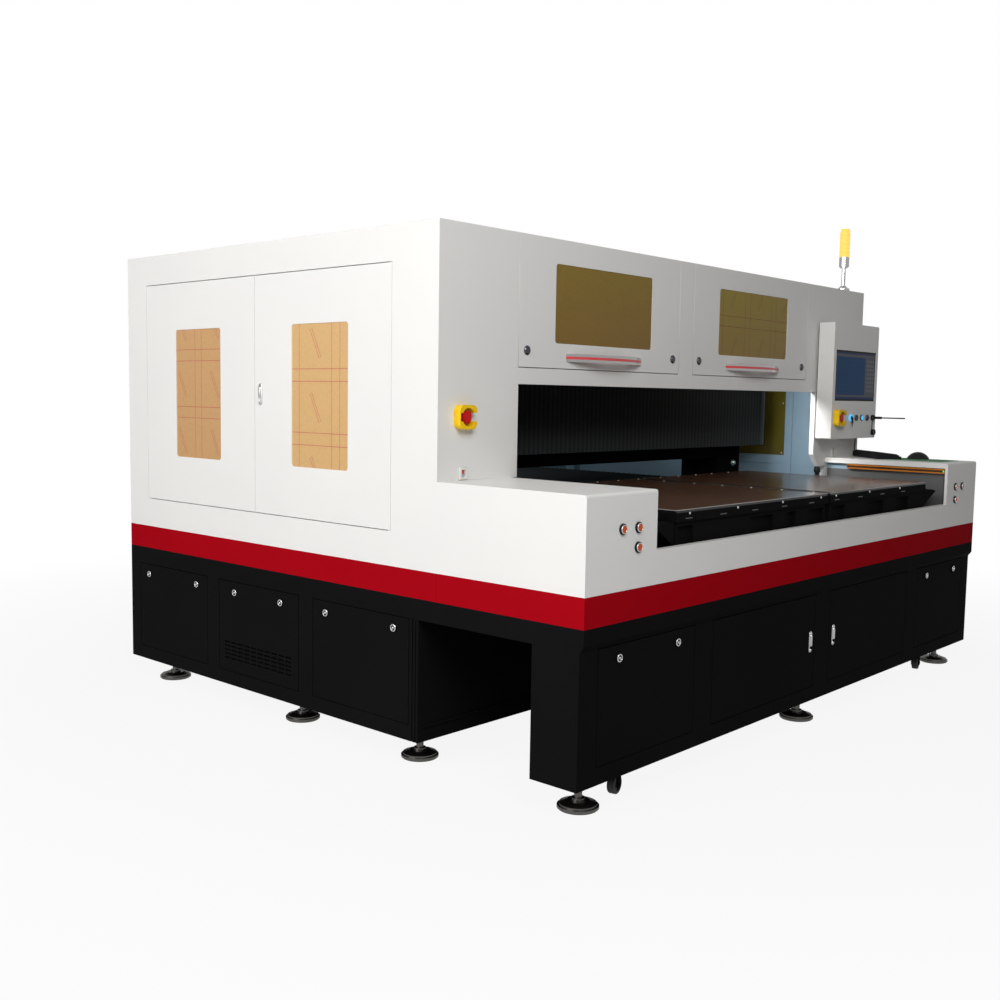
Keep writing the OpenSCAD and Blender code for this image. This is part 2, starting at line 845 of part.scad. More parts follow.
module enclosure_skin() {
  h = machine_h - band_top;
  color(white) place() {
    difference() {
      union() {
        translate([0, skin_y0, band_top]) facing_left() panel(rear_y - skin_y0, h, fold_d, skin_t,
          [[side_opening_y - skin_y0, side_door_z - band_top, side_opening_w, side_door_h]]);
        side_hinge_blocks();
      }
      side_hinge_holes();
      box(-eps, fold_d + eps, side_opening_y, side_opening_y + side_opening_w,
        side_door_z, side_door_z + side_door_h);
    }
    other_side() difference() {
      translate([0, skin_y0, band_top]) facing_left()
        panel(rear_y - skin_y0, h, fold_d, skin_t, [for (y = side_window_ys)
          [y - skin_y0, side_door_z + window_margin_v - band_top, side_window_w, side_window_h]],
          window_r);
      for (y = side_window_ys)
        box(skin_t, fold_d + eps, y - pane_lap, y + side_window_w + pane_lap,
          side_door_z + window_margin_v - pane_lap,
          side_door_z + window_margin_v + side_window_h + pane_lap);
    }
    // rear wall
    translate([fold_d, rear_y, band_top]) mirror([0, 1, 0]) facing_front()
      panel(machine_w - 2 * fold_d, h, fold_d, skin_t);
    // roof
    translate([fold_d, skin_y0 + 1, machine_h]) mirror([0, 0, 1])
      panel(machine_w - 2 * fold_d, rear_y - skin_y0 - fold_d - 1, fold_d, skin_t);
  }
}

side_window_ys = [
  side_opening_y + window_margin_u,
  side_opening_y + side_door_w + leaf_gap + window_margin_u
];

module right_side_windows() {
  color("olive") place() other_side() for (y = side_window_ys)
    box(skin_t, skin_t + pane_t, y - pane_lap + fit, y + side_window_w + pane_lap - fit,
      side_door_z + window_margin_v - pane_lap + fit,
      side_door_z + window_margin_v + side_window_h + pane_lap - fit);
}

// One leaf of the left side doors, drawn for the front leaf, hinged at its front edge.
module side_leaf() {
  v0 = side_door_z + leaf_gap;
  h = side_door_h - 2 * leaf_gap;
  w = side_door_w - leaf_gap;
  difference() {
    union() {
      translate([0, side_opening_y + leaf_gap, v0]) facing_left()
        panel(w, h, door_t, skin_t,
          [[window_margin_u - leaf_gap, window_margin_v - leaf_gap, side_window_w, side_window_h]],
          window_r);
      for (z = [v0, v0 + h - 20])
        box(skin_t - eps, door_t, side_opening_y + leaf_gap, side_opening_y + leaf_gap + 24,
          z, z + 20);
    }
    // the folds round the window are cut low, so that the pane lies on the sheet
    translate([0, side_opening_y + window_margin_u, side_door_z + window_margin_v]) pane_seat();
  }
  translate([hinge_back, side_opening_y + leaf_gap + hinge_in, v0 - pin_l])
    cylinder(h = pin_l + 10, r = pin_r);
  translate([hinge_back, side_opening_y + leaf_gap + hinge_in, v0 + h - 10])
    cylinder(h = pin_l + 10, r = pin_r);
}

module pane_seat() {
  box(skin_t, door_t + eps, -pane_lap, side_window_w + pane_lap,
    -pane_lap, side_window_h + pane_lap);
}

module side_pane() {
  box(skin_t, skin_t + pane_t, side_opening_y + window_margin_u - pane_lap + fit,
    side_opening_y + window_margin_u + side_window_w + pane_lap - fit,
    side_door_z + window_margin_v - pane_lap + fit,
    side_door_z + window_margin_v + side_window_h + pane_lap - fit);
}

// The rear leaf is the front one turned about the middle of the opening.
module rear_leaf_of() {
  translate([0, 2 * side_opening_y + side_opening_w, 0]) mirror([0, 1, 0]) children();
}

module side_door_front() {
  latch_y = side_opening_y + side_door_w - 33;
  color(white) place() {
    side_leaf();
    // flush latch near the free edge
    translate([eps, latch_y, side_door_z + side_door_h / 2 + 3]) rotate([0, 0, -90])
      pull_latch(flush_latch_h);
    box(skin_t - eps, door_t - 2, latch_y - 14, latch_y + 14,
      side_door_z + side_door_h / 2 - 40, side_door_z + side_door_h / 2 + 46);
  }
}

module side_window_front() {
  color("burlywood") place() side_pane();
}

module side_door_rear() {
  color(white) place() rear_leaf_of() side_leaf();
}

module side_window_rear() {
  color("burlywood") place() rear_leaf_of() side_pane();
}

// Front header: columns, lintel and the bar between the lift doors, in one folded sheet.
module header_outline(t) {
  door1 = lift_door_x;
  door2 = lift_door_x + lift_door_pitch;
  polygon([
    [t, band_top + t],
    [ledge_w - t, band_top + t],
    [ledge_w - t, ledge_z + t],
    [column_left_w - t, ledge_z + column_left_w - ledge_w + t],
    [column_left_w - t, lintel_z + t],
    [column_right_x + t, lintel_z + t],
    [column_right_x + t, column_z + column_cut + t * 0.4],
    [column_right_x + column_cut + t * 0.4, column_z + t],
    [right_ledge_x + t, column_z + t],
    [right_ledge_x + t, band_top + t],
    [machine_w - t, band_top + t],
    [machine_w - t, machine_h - t],
    [door2 + lift_door_w + t, machine_h - t],
    [door2 + lift_door_w + t, lift_door_z - t],
    [door2 - t, lift_door_z - t],
    [door2 - t, machine_h - t],
    [door1 + lift_door_w + t, machine_h - t],
    [door1 + lift_door_w + t, lift_door_z - t],
    [door1 - t, lift_door_z - t],
    [door1 - t, machine_h - t],
    [t, machine_h - t]
  ]);
}

lift_pin_y = front_d + hinge_back;
lift_pin_z = machine_h - hinge_in - leaf_gap;
stack_x = machine_w - 149;
stack_y = front_d + 37;
left_estop_pos = [107, 1121];
rocker_pos = [111, 948];
right_rocker_inset = 261;
right_rocker_x = machine_w - right_rocker_inset;

module front_header() {
  color(white) place() difference() {
    union() {
      difference() {
        translate([0, front_d, 0]) facing_front() linear_extrude(height = fold_d) header_outline(0);
        translate([0, front_d + skin_t, 0]) facing_front()
          linear_extrude(height = fold_d) header_outline(skin_t);
      }
      // cheeks that carry the lift doors' pivots
      for (i = [0, 1]) for (x = [0, lift_door_w])
        box(lift_door_x + i * lift_door_pitch + x - (x == 0 ? 16 : 0),
          lift_door_x + i * lift_door_pitch + x + (x == 0 ? 0 : 16),
          front_d + skin_t - eps, front_d + fold_d - 1, machine_h - 30, machine_h - skin_t + eps);
      // stop rail behind the lift doors' lower edge
      for (i = [0, 1])
        box(lift_door_x + i * lift_door_pitch + 4, lift_door_x + i * lift_door_pitch + lift_door_w - 4,
          front_d + door_t, front_d + fold_d, lift_door_z - 10, lift_door_z + 16);
      guard_base(left_estop_pos);
      // cable gland under the right column
      translate([right_ledge_x - 52, front_d + fold_d / 2, column_z - 40])
        cylinder(h = 40 + eps, r1 = 9, r2 = 10.5);
      rocker_housing(rocker_pos[0]);
      rocker_housing(right_rocker_x);
    }
    for (i = [0, 1])
      pin_along_x(lift_pin_y, lift_pin_z, lift_door_x + i * lift_door_pitch - pin_l - fit,
        lift_door_w + 2 * (pin_l + fit), pin_r + fit);
    pin_along_y(left_estop_pos[0], left_estop_pos[1], front_d - 10, 40, estop_stem_r + fit);
    rocker_hole(rocker_pos[0]);
    rocker_hole(right_rocker_x);
  }
}

module guard_base(pos) {
  pin_along_y(pos[0], pos[1], front_d + skin_t - eps, 12, 18);
}

rocker_axis_y = front_d + 4;
rocker_pin_r = 1.5;
rocker_tilt = 10;

module rocker_housing(x) {
  box(x - rocker_w / 2 - 2.5, x + rocker_w / 2 + 2.5, front_d - 2, front_d + 14,
    rocker_pos[1] - rocker_h / 2 - 2.5, rocker_pos[1] + rocker_h / 2 + 2.5);
}

module rocker_hole(x) {
  box(x - rocker_w / 2, x + rocker_w / 2, front_d - 5, front_d + 12,
    rocker_pos[1] - rocker_h / 2, rocker_pos[1] + rocker_h / 2);
  pin_along_x(rocker_axis_y, rocker_pos[1], x - rocker_w / 2 - 1.5 - fit, rocker_w + 3 + 2 * fit,
    rocker_pin_r + fit);
}

// Rocker: a key with two slanted faces that tips about a level axis.
module rocker(x) {
  half = rocker_h / 2 - 1.5;
  translate([x, rocker_axis_y, rocker_pos[1]]) rotate([-rocker_tilt, 0, 0]) {
    translate([-rocker_w / 2 + fit, 0, 0]) facing_left() linear_extrude(height = rocker_w - 2 * fit)
      polygon([[-6.5, -half], [-4, 0], [-6.5, half], [1, half - 1], [6, 3], [6, -3], [1, 1 - half]]);
    translate([-rocker_w / 2 - 1.5, 0, 0]) rotate([0, 90, 0]) cylinder(h = rocker_w + 3, r = rocker_pin_r);
  }
}

module left_rocker() {
  color("firebrick") place() rocker(rocker_pos[0]);
}

module right_rocker() {
  color("firebrick") place() rocker(right_rocker_x);
}

// Lift door with a window, two locks and pivots at its top edge. Index 0 is the left door.
module lift_door(i) {
  x0 = lift_door_x + i * lift_door_pitch + leaf_gap;
  w = lift_door_w - 2 * leaf_gap;
  z0 = lift_door_z + leaf_gap;
  h = machine_h - z0;
  u = (w - lift_window_w) / 2;
  v = lift_window_rise - leaf_gap;
  difference() {
    union() {
      translate([x0, front_d, z0]) facing_front()
        panel(w, h, door_t, skin_t, [[u, v, lift_window_w, lift_window_h]], window_r);
      for (x = [x0, x0 + w - 24])
        box(x, x + 24, front_d + skin_t - eps, front_d + door_t, machine_h - 24, machine_h);
      for (x = [x0 + 40, x0 + w - 40]) lift_lock(x, z0 + 54);
    }
    translate([x0 + u, front_d, z0 + v]) box(-pane_lap, lift_window_w + pane_lap,
      skin_t, door_t + eps, -pane_lap, lift_window_h + pane_lap);
  }
  for (x = [x0 - pin_l, x0 + w - 10]) pin_along_x(lift_pin_y, lift_pin_z, x, pin_l + 10, pin_r);
}

module lift_lock(x, z) {
  pin_along_y(x, z, front_d - 3, 22, lock_r - 2);
  pin_along_y(x, z, front_d - 2, 3, lock_r + 2);
}

module lift_pane(i) {
  x0 = lift_door_x + i * lift_door_pitch + lift_door_w / 2 - lift_window_w / 2;
  z0 = lift_door_z + lift_window_rise;
  box(x0 - pane_lap + fit, x0 + lift_window_w + pane_lap - fit, front_d + skin_t, front_d + skin_t + pane_t,
    z0 - pane_lap + fit, z0 + lift_window_h + pane_lap - fit);
}

// Bow handle: a flat bar bent to one true arc, with its two ends on the door.
module bow_handle(i) {
  x = lift_door_x + i * lift_door_pitch + lift_door_w / 2;
  z0 = lift_door_z + handle_rise - handle_h / 2;
  half = handle_l / 2;
  bow_r = (half * half + handle_reach * handle_reach) / (2 * handle_reach);
  translate([x, front_d, z0]) linear_extrude(height = handle_h) intersection() {
    difference() {
      translate([0, bow_r - handle_reach]) circle(bow_r, $fn = 480);
      translate([0, bow_r - handle_reach]) circle(bow_r - handle_t, $fn = 480);
    }
    translate([-half, -handle_reach - eps]) square([handle_l, handle_reach + eps]);
  }
}

module left_front_door() {
  color(white) place() lift_door(0);
}

module right_front_door() {
  color(white) place() lift_door(1);
}

module left_front_window() {
  color("olive") place() lift_pane(0);
}

module right_front_window() {
  color("olive") place() lift_pane(1);
}

module left_front_handle() {
  color(chrome) place() bow_handle(0);
}

module right_front_handle() {
  color(chrome) place() bow_handle(1);
}

// Lining: posts, a ring under the roof and sheets behind the skins.
module enclosure_liner() {
  x0 = fold_d;
  x1 = machine_w - fold_d;
  y0 = front_d + fold_d + 1;
  y1 = rear_y - fold_d;
  z1 = machine_h - fold_d;
  inset = 80;
  color(blue_grey) place() {
    for (x = [x0, x1 - liner_post], y = [y0, y1 - liner_post])
      box(x, x + liner_post, y, y + liner_post, base_top, z1);
    difference() {
      box(x0, x1, y0, y1, z1 - liner_post, z1);
      box(x0 + liner_post, x1 - liner_post, y0 + liner_post, y1 - liner_post,
        z1 - liner_post - eps, z1 + eps);
    }
    // left sheet, open behind the side doors
    difference() {
      box(x0, x0 + liner_t, y0 + liner_post, y1 - liner_post, base_top, z1 - liner_post);
      box(x0 - eps, x0 + liner_t + eps, side_opening_y - 8, side_opening_y + side_opening_w + 8,
        side_door_z - 30, side_door_z + side_door_h + 30);
    }
    // right sheet, open round the windows
    difference() {
      box(x1 - liner_t, x1, y0 + liner_post, y1 - liner_post, base_top, z1 - liner_post);
      for (y = side_window_ys)
        box(x1 - liner_t - eps, x1 + eps, y - inset + 15, y + side_window_w + inset - 15,
          side_door_z + window_margin_v - 50, side_door_z + window_margin_v + side_window_h + 50);
    }
    box(x0 + liner_post, x1 - liner_post, y1 - liner_t, y1, base_top, z1 - liner_post);
    // plates behind the open sides of the ledges, standing on the base
    both_sides() box(ledge_w - ledge_plate_set - liner_t, ledge_w - ledge_plate_set,
      fold_d + 2, front_d - 2, base_top, ledge_z - fold_d - 1);
  }
}

// Portal, cutting head and covers

portal_x0 = portal_inset;
portal_x1 = machine_w - portal_inset;
guide_zs = [beam_z + 110, beam_z + beam_h - 90];
bed_top = base_top + 90;

module cross_beam() {
  y1 = portal_y + portal_d;
  color(black) place() {
    tube_x(portal_x0, portal_x1, portal_y, y1, beam_z, beam_z + beam_h, 12);
    for (x = [portal_x0, portal_x1 - portal_leg_w])
      box(x, x + portal_leg_w, portal_y, y1, base_top, beam_z + eps);
    for (x = [portal_x0, portal_x1 - 3])
      box(x, x + 3, portal_y, y1, beam_z, beam_z + beam_h);
    for (z = guide_zs)
      box(portal_x0 + 60, portal_x1 - 60, portal_y - guide_t, portal_y + eps,
        z - guide_t / 2, z + guide_t / 2);
    // end plates that hold the pleated covers
    for (x = [portal_x0, portal_x1 - 6])
      box(x, x + 6, portal_y - carriage_reach - 10, portal_y + eps,
        beam_cover_z - 4, beam_cover_z + beam_cover_h + 4);
    // power and signal flange on the leg
    translate([portal_x1 - 70, portal_y + eps, beam_z - 30]) rotate([90, 0, 0]) {
      cylinder(h = 6, r = 16);
      cylinder(h = 16, r = 9);
    }
  }
}

carriage_x0 = portal_x0 + carriage_x;
carriage_x1 = carriage_x0 + carriage_w;
barrel_bore_l = 240;
barrel_x = carriage_x0 + carriage_w / 2;
barrel_y = portal_y - carriage_reach / 2 - 8;

module head_carriage() {
  z0 = beam_cover_z;
  z1 = beam_cover_z + beam_cover_h;
  y0 = portal_y - carriage_reach;
  color("dimgray") place() difference() {
    box(carriage_x0, carriage_x1, y0, portal_y - fit - 2, z0, z1);
    for (z = guide_zs)
      box(carriage_x0 - eps, carriage_x1 + eps, portal_y - guide_t - fit, portal_y,
        z - guide_t / 2 - fit, z + guide_t / 2 + fit);
    translate([barrel_x, barrel_y, z0 - eps]) cylinder(h = barrel_bore_l, r = barrel_r + fit);
  }
}

module laser_head() {
  shoulder_z = beam_cover_z - 6;
  color("silver") place() translate([barrel_x, barrel_y, 0]) {
    translate([0, 0, shoulder_z - 1]) cylinder(h = 200, r = barrel_r);
    translate([0, 0, shoulder_z - 38]) cylinder(h = 38, r = lens_r);
    translate([0, 0, shoulder_z - 46]) cylinder(h = 9, r = lens_r - 6);
    rotate_extrude() polygon([
      [0, nozzle_z], [6, nozzle_z], [26, shoulder_z - 45], [0, shoulder_z - 45]
    ]);
  }
}

// Strip with sharp folds along u, from 0 to length, between v = 0 and v = depth.
function fold_count(length, pitch) = max(2, round(length / pitch));
function fold_points(length, pitch, depth) = let (n = fold_count(length, pitch))
  [for (i = [0 : 2 * n]) [i * length / (2 * n), i % 2 == 0 ? depth : 0]];
function reversed(points) = [for (i = [len(points) - 1 : -1 : 0]) points[i]];

module folded_strip(length, pitch, depth, t) {
  edge = fold_points(length, pitch, depth - t);
  polygon(concat(edge, [for (p = reversed(edge)) [p[0], p[1] + t]]));
}

module beam_bellows(x0, x1, pitch) {
  y0 = portal_y - carriage_reach - 8;
  translate([x0, y0, beam_cover_z]) linear_extrude(height = beam_cover_h)
    folded_strip(x1 - x0, pitch, beam_fold_d, 3);
}

module left_beam_bellows() {
  color(black) place() beam_bellows(portal_x0 + 6, carriage_x0, 5);
}

module right_beam_bellows() {
  color(black) place() beam_bellows(carriage_x1, portal_x1 - 6, beam_fold_pitch);
}

// Laser source on the beam, with a beam tube towards the head.
module laser_source() {
  x0 = portal_x0 + source_x;
  z0 = beam_z + beam_h;
  h = (machine_h - beam_z) * source_share;
  margin = source_l / 13;
  fins = 10;
  fin_pitch = source_l / 26;
  fin_h = h * 0.07;
  tube_r = h * 0.147;
  color("gainsboro") place() {
    box(x0, x0 + source_l, portal_y + 5, portal_y + portal_d - 5, z0, z0 + h);
    for (i = [0 : fins - 1])
      box(x0 + margin + i * fin_pitch, x0 + margin + (i + 0.2) * fin_pitch,
        portal_y + portal_d * 0.06, portal_y + portal_d * 0.94, z0 + h - 1, z0 + h + fin_h);
    pin_along_x(portal_y + portal_d / 3, z0 + h / 2, x0 - source_tube_l, source_tube_l + eps, tube_r);
  }
}

// Tables

left_table_x = ledge_w + table_left_gap;
right_table_x = left_table_x + left_table_w + table_split;
right_table_w = right_ledge_x - table_right_gap - right_table_x;
deck_z = table_z - board_t;
skirt_z = deck_z - rim_h - skirt_h;
rail_inset = 150;
bed_beam_w = 90;
bed_y0 = base_set + 40;
bed_y1 = rear_y - bed_bar;
block_l = 120;

function rail_xs(x, w) = [x + rail_inset, x + w - rail_inset];

module table_rail(x) {
  tube_y(x - bed_beam_w / 2, x + bed_beam_w / 2, bed_y0, bed_y1, base_top, bed_top, 6);
  box(x - rail_w / 2, x + rail_w / 2, bed_y0 + 10, bed_y1 - 10, bed_top - eps, bed_top + rail_h);
}

module table_bed() {
  color("dimgray") place() {
    for (x = concat(rail_xs(left_table_x, left_table_w), rail_xs(right_table_x, right_table_w)))
      table_rail(x);
    for (y = [bed_y0 + bed_bar_inset, bed_y1 - bed_bar_inset - bed_bar - rail_inset / 4])
      for (x = [left_table_x, right_table_x])
        box(x + rail_inset, x + (x == left_table_x ? left_table_w : right_table_w) - rail_inset,
          y, y + bed_bar, base_top, base_top + bed_bar);
    // posts and bar that hold the rear ends of the folded covers
    for (x = [left_table_x, right_table_x]) {
      w = x == left_table_x ? left_table_w : right_table_w;
      box(x, x + w, table_cover_y1, table_cover_y1 + 8, table_cover_z - table_fold_d, table_cover_z + 4);
      for (u = [0, w - 40])
        box(x + u, x + u + 40, table_cover_y1, table_cover_y1 + 40, base_top,
          table_cover_z - table_fold_d + eps);
    }
  }
}

table_cover_y0 = table_y + table_d;
table_cover_y1 = rear_y - table_cover_rear - 40;

module table(x, w, pockets, wedge) {
  y0 = table_y + skirt_set;
  y1 = table_y + table_d;
  difference() {
    union() {
      box(x, x + w, table_y, y1, deck_z - rim_h, deck_z);
      box(x + skirt_set, x + w - skirt_set, y0, y1, skirt_z, deck_z - rim_h + eps);
    }
    // hollow under the deck
    box(x + skirt_set + 20, x + w - skirt_set - 20, y0 + 20, y1 - 20, skirt_z - eps, deck_z - 12);
    for (p = pockets)
      box(x + p[0], x + p[0] + p[1], y0 - eps, y0 + pocket_d, skirt_z - eps, deck_z - rim_h - 14);
    box(x + skirt_set + 60, x + w - skirt_set - 60, y1 - 21, y1 + eps, skirt_z - eps, skirt_z + 40);
  }
  // runner blocks astride the rails, with cross members to carry them
  for (rx = rail_xs(x, w)) for (y = [y0 + 90, y1 - 90 - block_l])
    difference() {
      box(rx - 35, rx + 35, y, y + block_l, bed_top + 4, deck_z - 12 + eps);
      box(rx - rail_w / 2 - 0.5, rx + rail_w / 2 + 0.5, y - eps, y + block_l + eps,
        bed_top, bed_top + rail_h + fit);
    }
  // wedge-shaped apron at the table's outer side
  if (wedge > 0) translate([x + w, 0, 0]) side_wedge(wedge);
  if (wedge < 0) translate([x, 0, 0]) mirror([1, 0, 0]) side_wedge(-wedge);
}

wedge_l = 320;

module side_wedge(reach) {
  tip = reach + ledge_w - portal_inset - portal_leg_w - wedge_gap;
  root = -skirt_set - eps;
  translate([0, table_y + skirt_set + 4, 0]) facing_front() linear_extrude(height = wedge_l) polygon([
    [root, deck_z - rim_h], [tip - 40, deck_z - rim_h], [tip, deck_z - rim_h - 8], [root, skirt_z + 40]
  ]);
}

module board(x, w) {
  seam = 2;
  y0 = table_y + 3;
  y1 = table_y + table_d - 3;
  mid = table_y + table_d * 0.5;
  box(x + 3, x + w - 3, y0, y1, deck_z, table_z - 2);
  box(x + 3, x + w - 3, y0, mid - seam / 2, deck_z, table_z);
  box(x + 3, x + w - 3, mid + seam / 2, y1, deck_z, table_z);
}

left_pockets = [[20, 86], [454, 150], [699, 66], [857, 120]];
right_pockets = [[24, 110], [330, 150], [600, 120]];

module left_table() {
  color(black) place() table(left_table_x, left_table_w, left_pockets, -table_left_gap);
}

module right_table() {
  color(black) place() table(right_table_x, right_table_w, right_pockets, table_right_gap);
}

module left_board() {
  color("sienna") place() board(left_table_x, left_table_w);
}

module right_board() {
  color("sienna") place() board(right_table_x, right_table_w);
}

module table_bellows(x, w) {
  translate([x + 4, table_cover_y0, table_cover_z - table_fold_d]) facing_left()
    linear_extrude(height = w - 8)
      folded_strip(table_cover_y1 - table_cover_y0, table_fold_pitch, table_fold_d, 3);
}

module left_table_bellows() {
  color(black) place() table_bellows(left_table_x, left_table_w);
}

module right_table_bellows() {
  color(black) place() table_bellows(right_table_x, right_table_w);
}

// Console

console_x = machine_w - console_inset - console_w;
console_y = front_d - console_d;
controls_z = console_z + controls_rise;
console_estop_x = console_x + estop_inset;
first_control_x = console_x + first_control_inset;
screen_x = console_x + (console_w - screen_w) / 2;
screen_z = console_z + screen_rise;

module console_box() {
  r = 8;
  body_d = console_d - console_gap;
  color(white) place() {
    box(column_right_x + 40, machine_w - 40, front_d - console_gap - eps, front_d,
      console_z + 60, console_z + console_h - 60);
    difference() {
      translate([console_x, console_y, console_z]) facing_front()
        linear_extrude(height = body_d) rounded(console_w, console_h, r);
      translate([console_x + skin_t, console_y + skin_t, console_z + skin_t]) facing_front()
        linear_extrude(height = body_d - 2 * skin_t)
          rounded(console_w - 2 * skin_t, console_h - 2 * skin_t, r - skin_t);
      box(screen_x, screen_x + screen_w, console_y - eps, console_y + skin_t + eps,
        screen_z, screen_z + screen_h);
      pin_along_y(console_estop_x, controls_z, console_y - eps, 4, estop_stem_r + fit);
      for (i = [0 : 2])
        pin_along_y(first_control_x + i * control_pitch, controls_z, console_y - eps, 4, cap_r);
    }
    difference() {
      pin_along_y(console_estop_x, controls_z, console_y + skin_t - eps, 14, 18);
      pin_along_y(console_estop_x, controls_z, console_y, 30, estop_stem_r + fit);
    }
    // bezels of the small controls, the lamp beside them and the socket with its hanging cap
    for (i = [0 : 2]) console_bezel(first_control_x + i * control_pitch);
    console_lamp(first_control_x + 3 * control_pitch);
    console_socket(first_control_x + 4 * control_pitch);
  }
}

module console_bezel(x) {
  difference() {
    pin_along_y(x, controls_z, console_y - 4, 4 + eps, bezel_r - 1);
    pin_along_y(x, controls_z, console_y - 5, 8, cap_r);
  }
  difference() {
    pin_along_y(x, controls_z, console_y + skin_t - eps, 26, bezel_r - 2);
    pin_along_y(x, controls_z, console_y, 25, cap_r);
  }
}

module console_lamp(x) {
  pin_along_y(x, controls_z, console_y - 4, 5, bezel_r - 1);
  pin_along_y(x, controls_z, console_y - 7, 4, cap_r - 2);
}

module console_socket(x) {
  pin_along_y(x, controls_z, console_y - 10, 11, 13);
  pin_along_y(x + 5, controls_z - 69, console_y - 14, 14.5, 13);
  box(x + 1, x + 5, console_y - 2, console_y + eps, controls_z - 60, controls_z - 8);
}

module touch_screen() {
  color("steelblue") place()
    box(screen_x + fit, screen_x + screen_w - fit, console_y + 1, console_y + 30,
      screen_z + fit, screen_z + screen_h - fit);
}

module panel_aerial() {
  x = first_control_x + 4 * control_pitch;
  color(black) place() {
    pin_along_y(x, controls_z, console_y - 48, 38, 6);
    pin_along_y(x, controls_z, console_y - 162, 116, 3);
  }
}

// Emergency button with a mushroom head, deep inside the block that guards it.
module estop(x, y, z) {
  pin_along_y(x, z, y - 21, 12, estop_r);
  pin_along_y(x, z, y - 10, 25, estop_stem_r);
  pin_along_y(x, z, y - 23, 3, estop_r - 4);
}

// Guard: a square block with round corners and a round well, open to the right for a hand.
module guard(x, y, z) {
  slot = guard_r * 0.7;
  translate([x, y - guard_d, z]) facing_front() difference() {
    linear_extrude(height = guard_d) difference() {
      translate([-guard_r, -guard_r]) rounded(2 * guard_r, 2 * guard_r, guard_r / 2);
      circle(estop_stem_r + fit);
    }
    translate([0, 0, -eps]) cylinder(h = guard_d - 3 + eps, r = guard_r - 9);
    translate([0, -slot / 2, -eps]) cube([guard_r + eps, slot, guard_d - 3 + eps]);
    // notch in the closed side
    translate([3 - guard_r, -slot / 2, -eps]) cube([guard_r, slot, guard_d / 2]);
  }
}

module estop_guards() {
  color("gold") place() {
    guard(left_estop_pos[0], front_d, left_estop_pos[1]);
    guard(console_estop_x, console_y, controls_z);
  }
}

module left_estop() {
  color("red") place() estop(left_estop_pos[0], front_d, left_estop_pos[1]);
}

module console_estop() {
  color("red") place() estop(console_estop_x, console_y, controls_z);
}

module key_switch() {
  x = first_control_x;
  color(chrome) place() {
    pin_along_y(x, controls_z, console_y - 7, 28, cap_r - fit);
    // key with its bow hanging down
    box(x - 1, x + 1, console_y - 26, console_y - 6, controls_z - 5, controls_z + 5);
    box(x - 1.5, x + 1.5, console_y - 42, console_y - 24, controls_z - 24, controls_z + 7);
  }
}

module console_button(i) {
  pin_along_y(first_control_x + i * control_pitch, controls_z, console_y - 6, 27, cap_r - fit);
}

module console_button_dark() {
  color("midnightblue") place() console_button(1);
}

module console_button_blue() {
  color("deepskyblue") place() console_button(2);
}

// Signal lamp

module stack_light_pole() {
  color(chrome) place() translate([stack_x, stack_y, machine_h]) {
    cylinder(h = 12, r = 30);
    translate([0, 0, 11]) cylinder(h = 14, r1 = 24, r2 = 12);
    cylinder(h = lamp_rise - 40, r = 9);
    translate([0, 0, lamp_rise - 45]) cylinder(h = 45, r = lamp_r - 1);
    translate([0, 0, lamp_rise - 50]) cylinder(h = 8, r = lamp_r - 6);
  }
}

module stack_light_lens() {
  color("orange") place() translate([stack_x, stack_y, machine_h + lamp_rise]) {
    cylinder(h = lamp_h - 10, r = lamp_r - 1.5);
    for (i = [0 : 6]) translate([0, 0, 4 + i * (lamp_h - 20) / 7]) cylinder(h = 9, r = lamp_r);
    translate([0, 0, lamp_h - 11]) cylinder(h = 11, r = lamp_r - 4);
  }
}

// Keyboard and mouse on the right ledge, and the keyboard's lead

keyboard_size = [262, 120];
keyboard_turn = 49;
keyboard_inset = [127, 418];
keyboard_place = [machine_w - keyboard_inset[0], keyboard_inset[1], ledge_z];
mouse_inset = [70, 242];
mouse_size = [58, 96, 34];

module keyboard_and_mouse() {
  l = keyboard_size[0];
  w = keyboard_size[1];
  color(black) place() {
    translate(keyboard_place) rotate([0, 0, keyboard_turn]) {
      translate([-l / 2, -w / 2, 0]) facing_left() linear_extrude(height = l)
        polygon([[0, 0], [w - 6, 0], [w, 6], [w, 27], [0, 13]]);
      // block of keys
      translate([-l / 2 + 6, -w / 2, 0]) facing_left() linear_extrude(height = l - 12)
        polygon([[8, 10], [w - 8, 20], [w - 8, 30.5], [8, 19]]);
    }
    translate([machine_w - mouse_inset[0], mouse_inset[1], ledge_z]) rotate([0, 0, 20]) intersection() {
      translate([0, 0, mouse_size[2] - 56]) sphere(r = 56);
      translate([-mouse_size[0] / 2, -mouse_size[1] / 2, 0]) cube(mouse_size);
    }
  }
}

lead_r = 2.5;
lead_top = [machine_w - 125, console_y + 43, console_z];
lead_turns = [[0, 0, 0], [0, 0, -16], [-1, 1, -34], [-1, 1, -52], [0, 0, -68], [1.8, -1.6, -75],
  [4.4, -3.8, -79], [8, -6.9, -80.5]];
lead_path = [for (p = lead_turns) lead_top + p];

function unit(v) = v / norm(v);
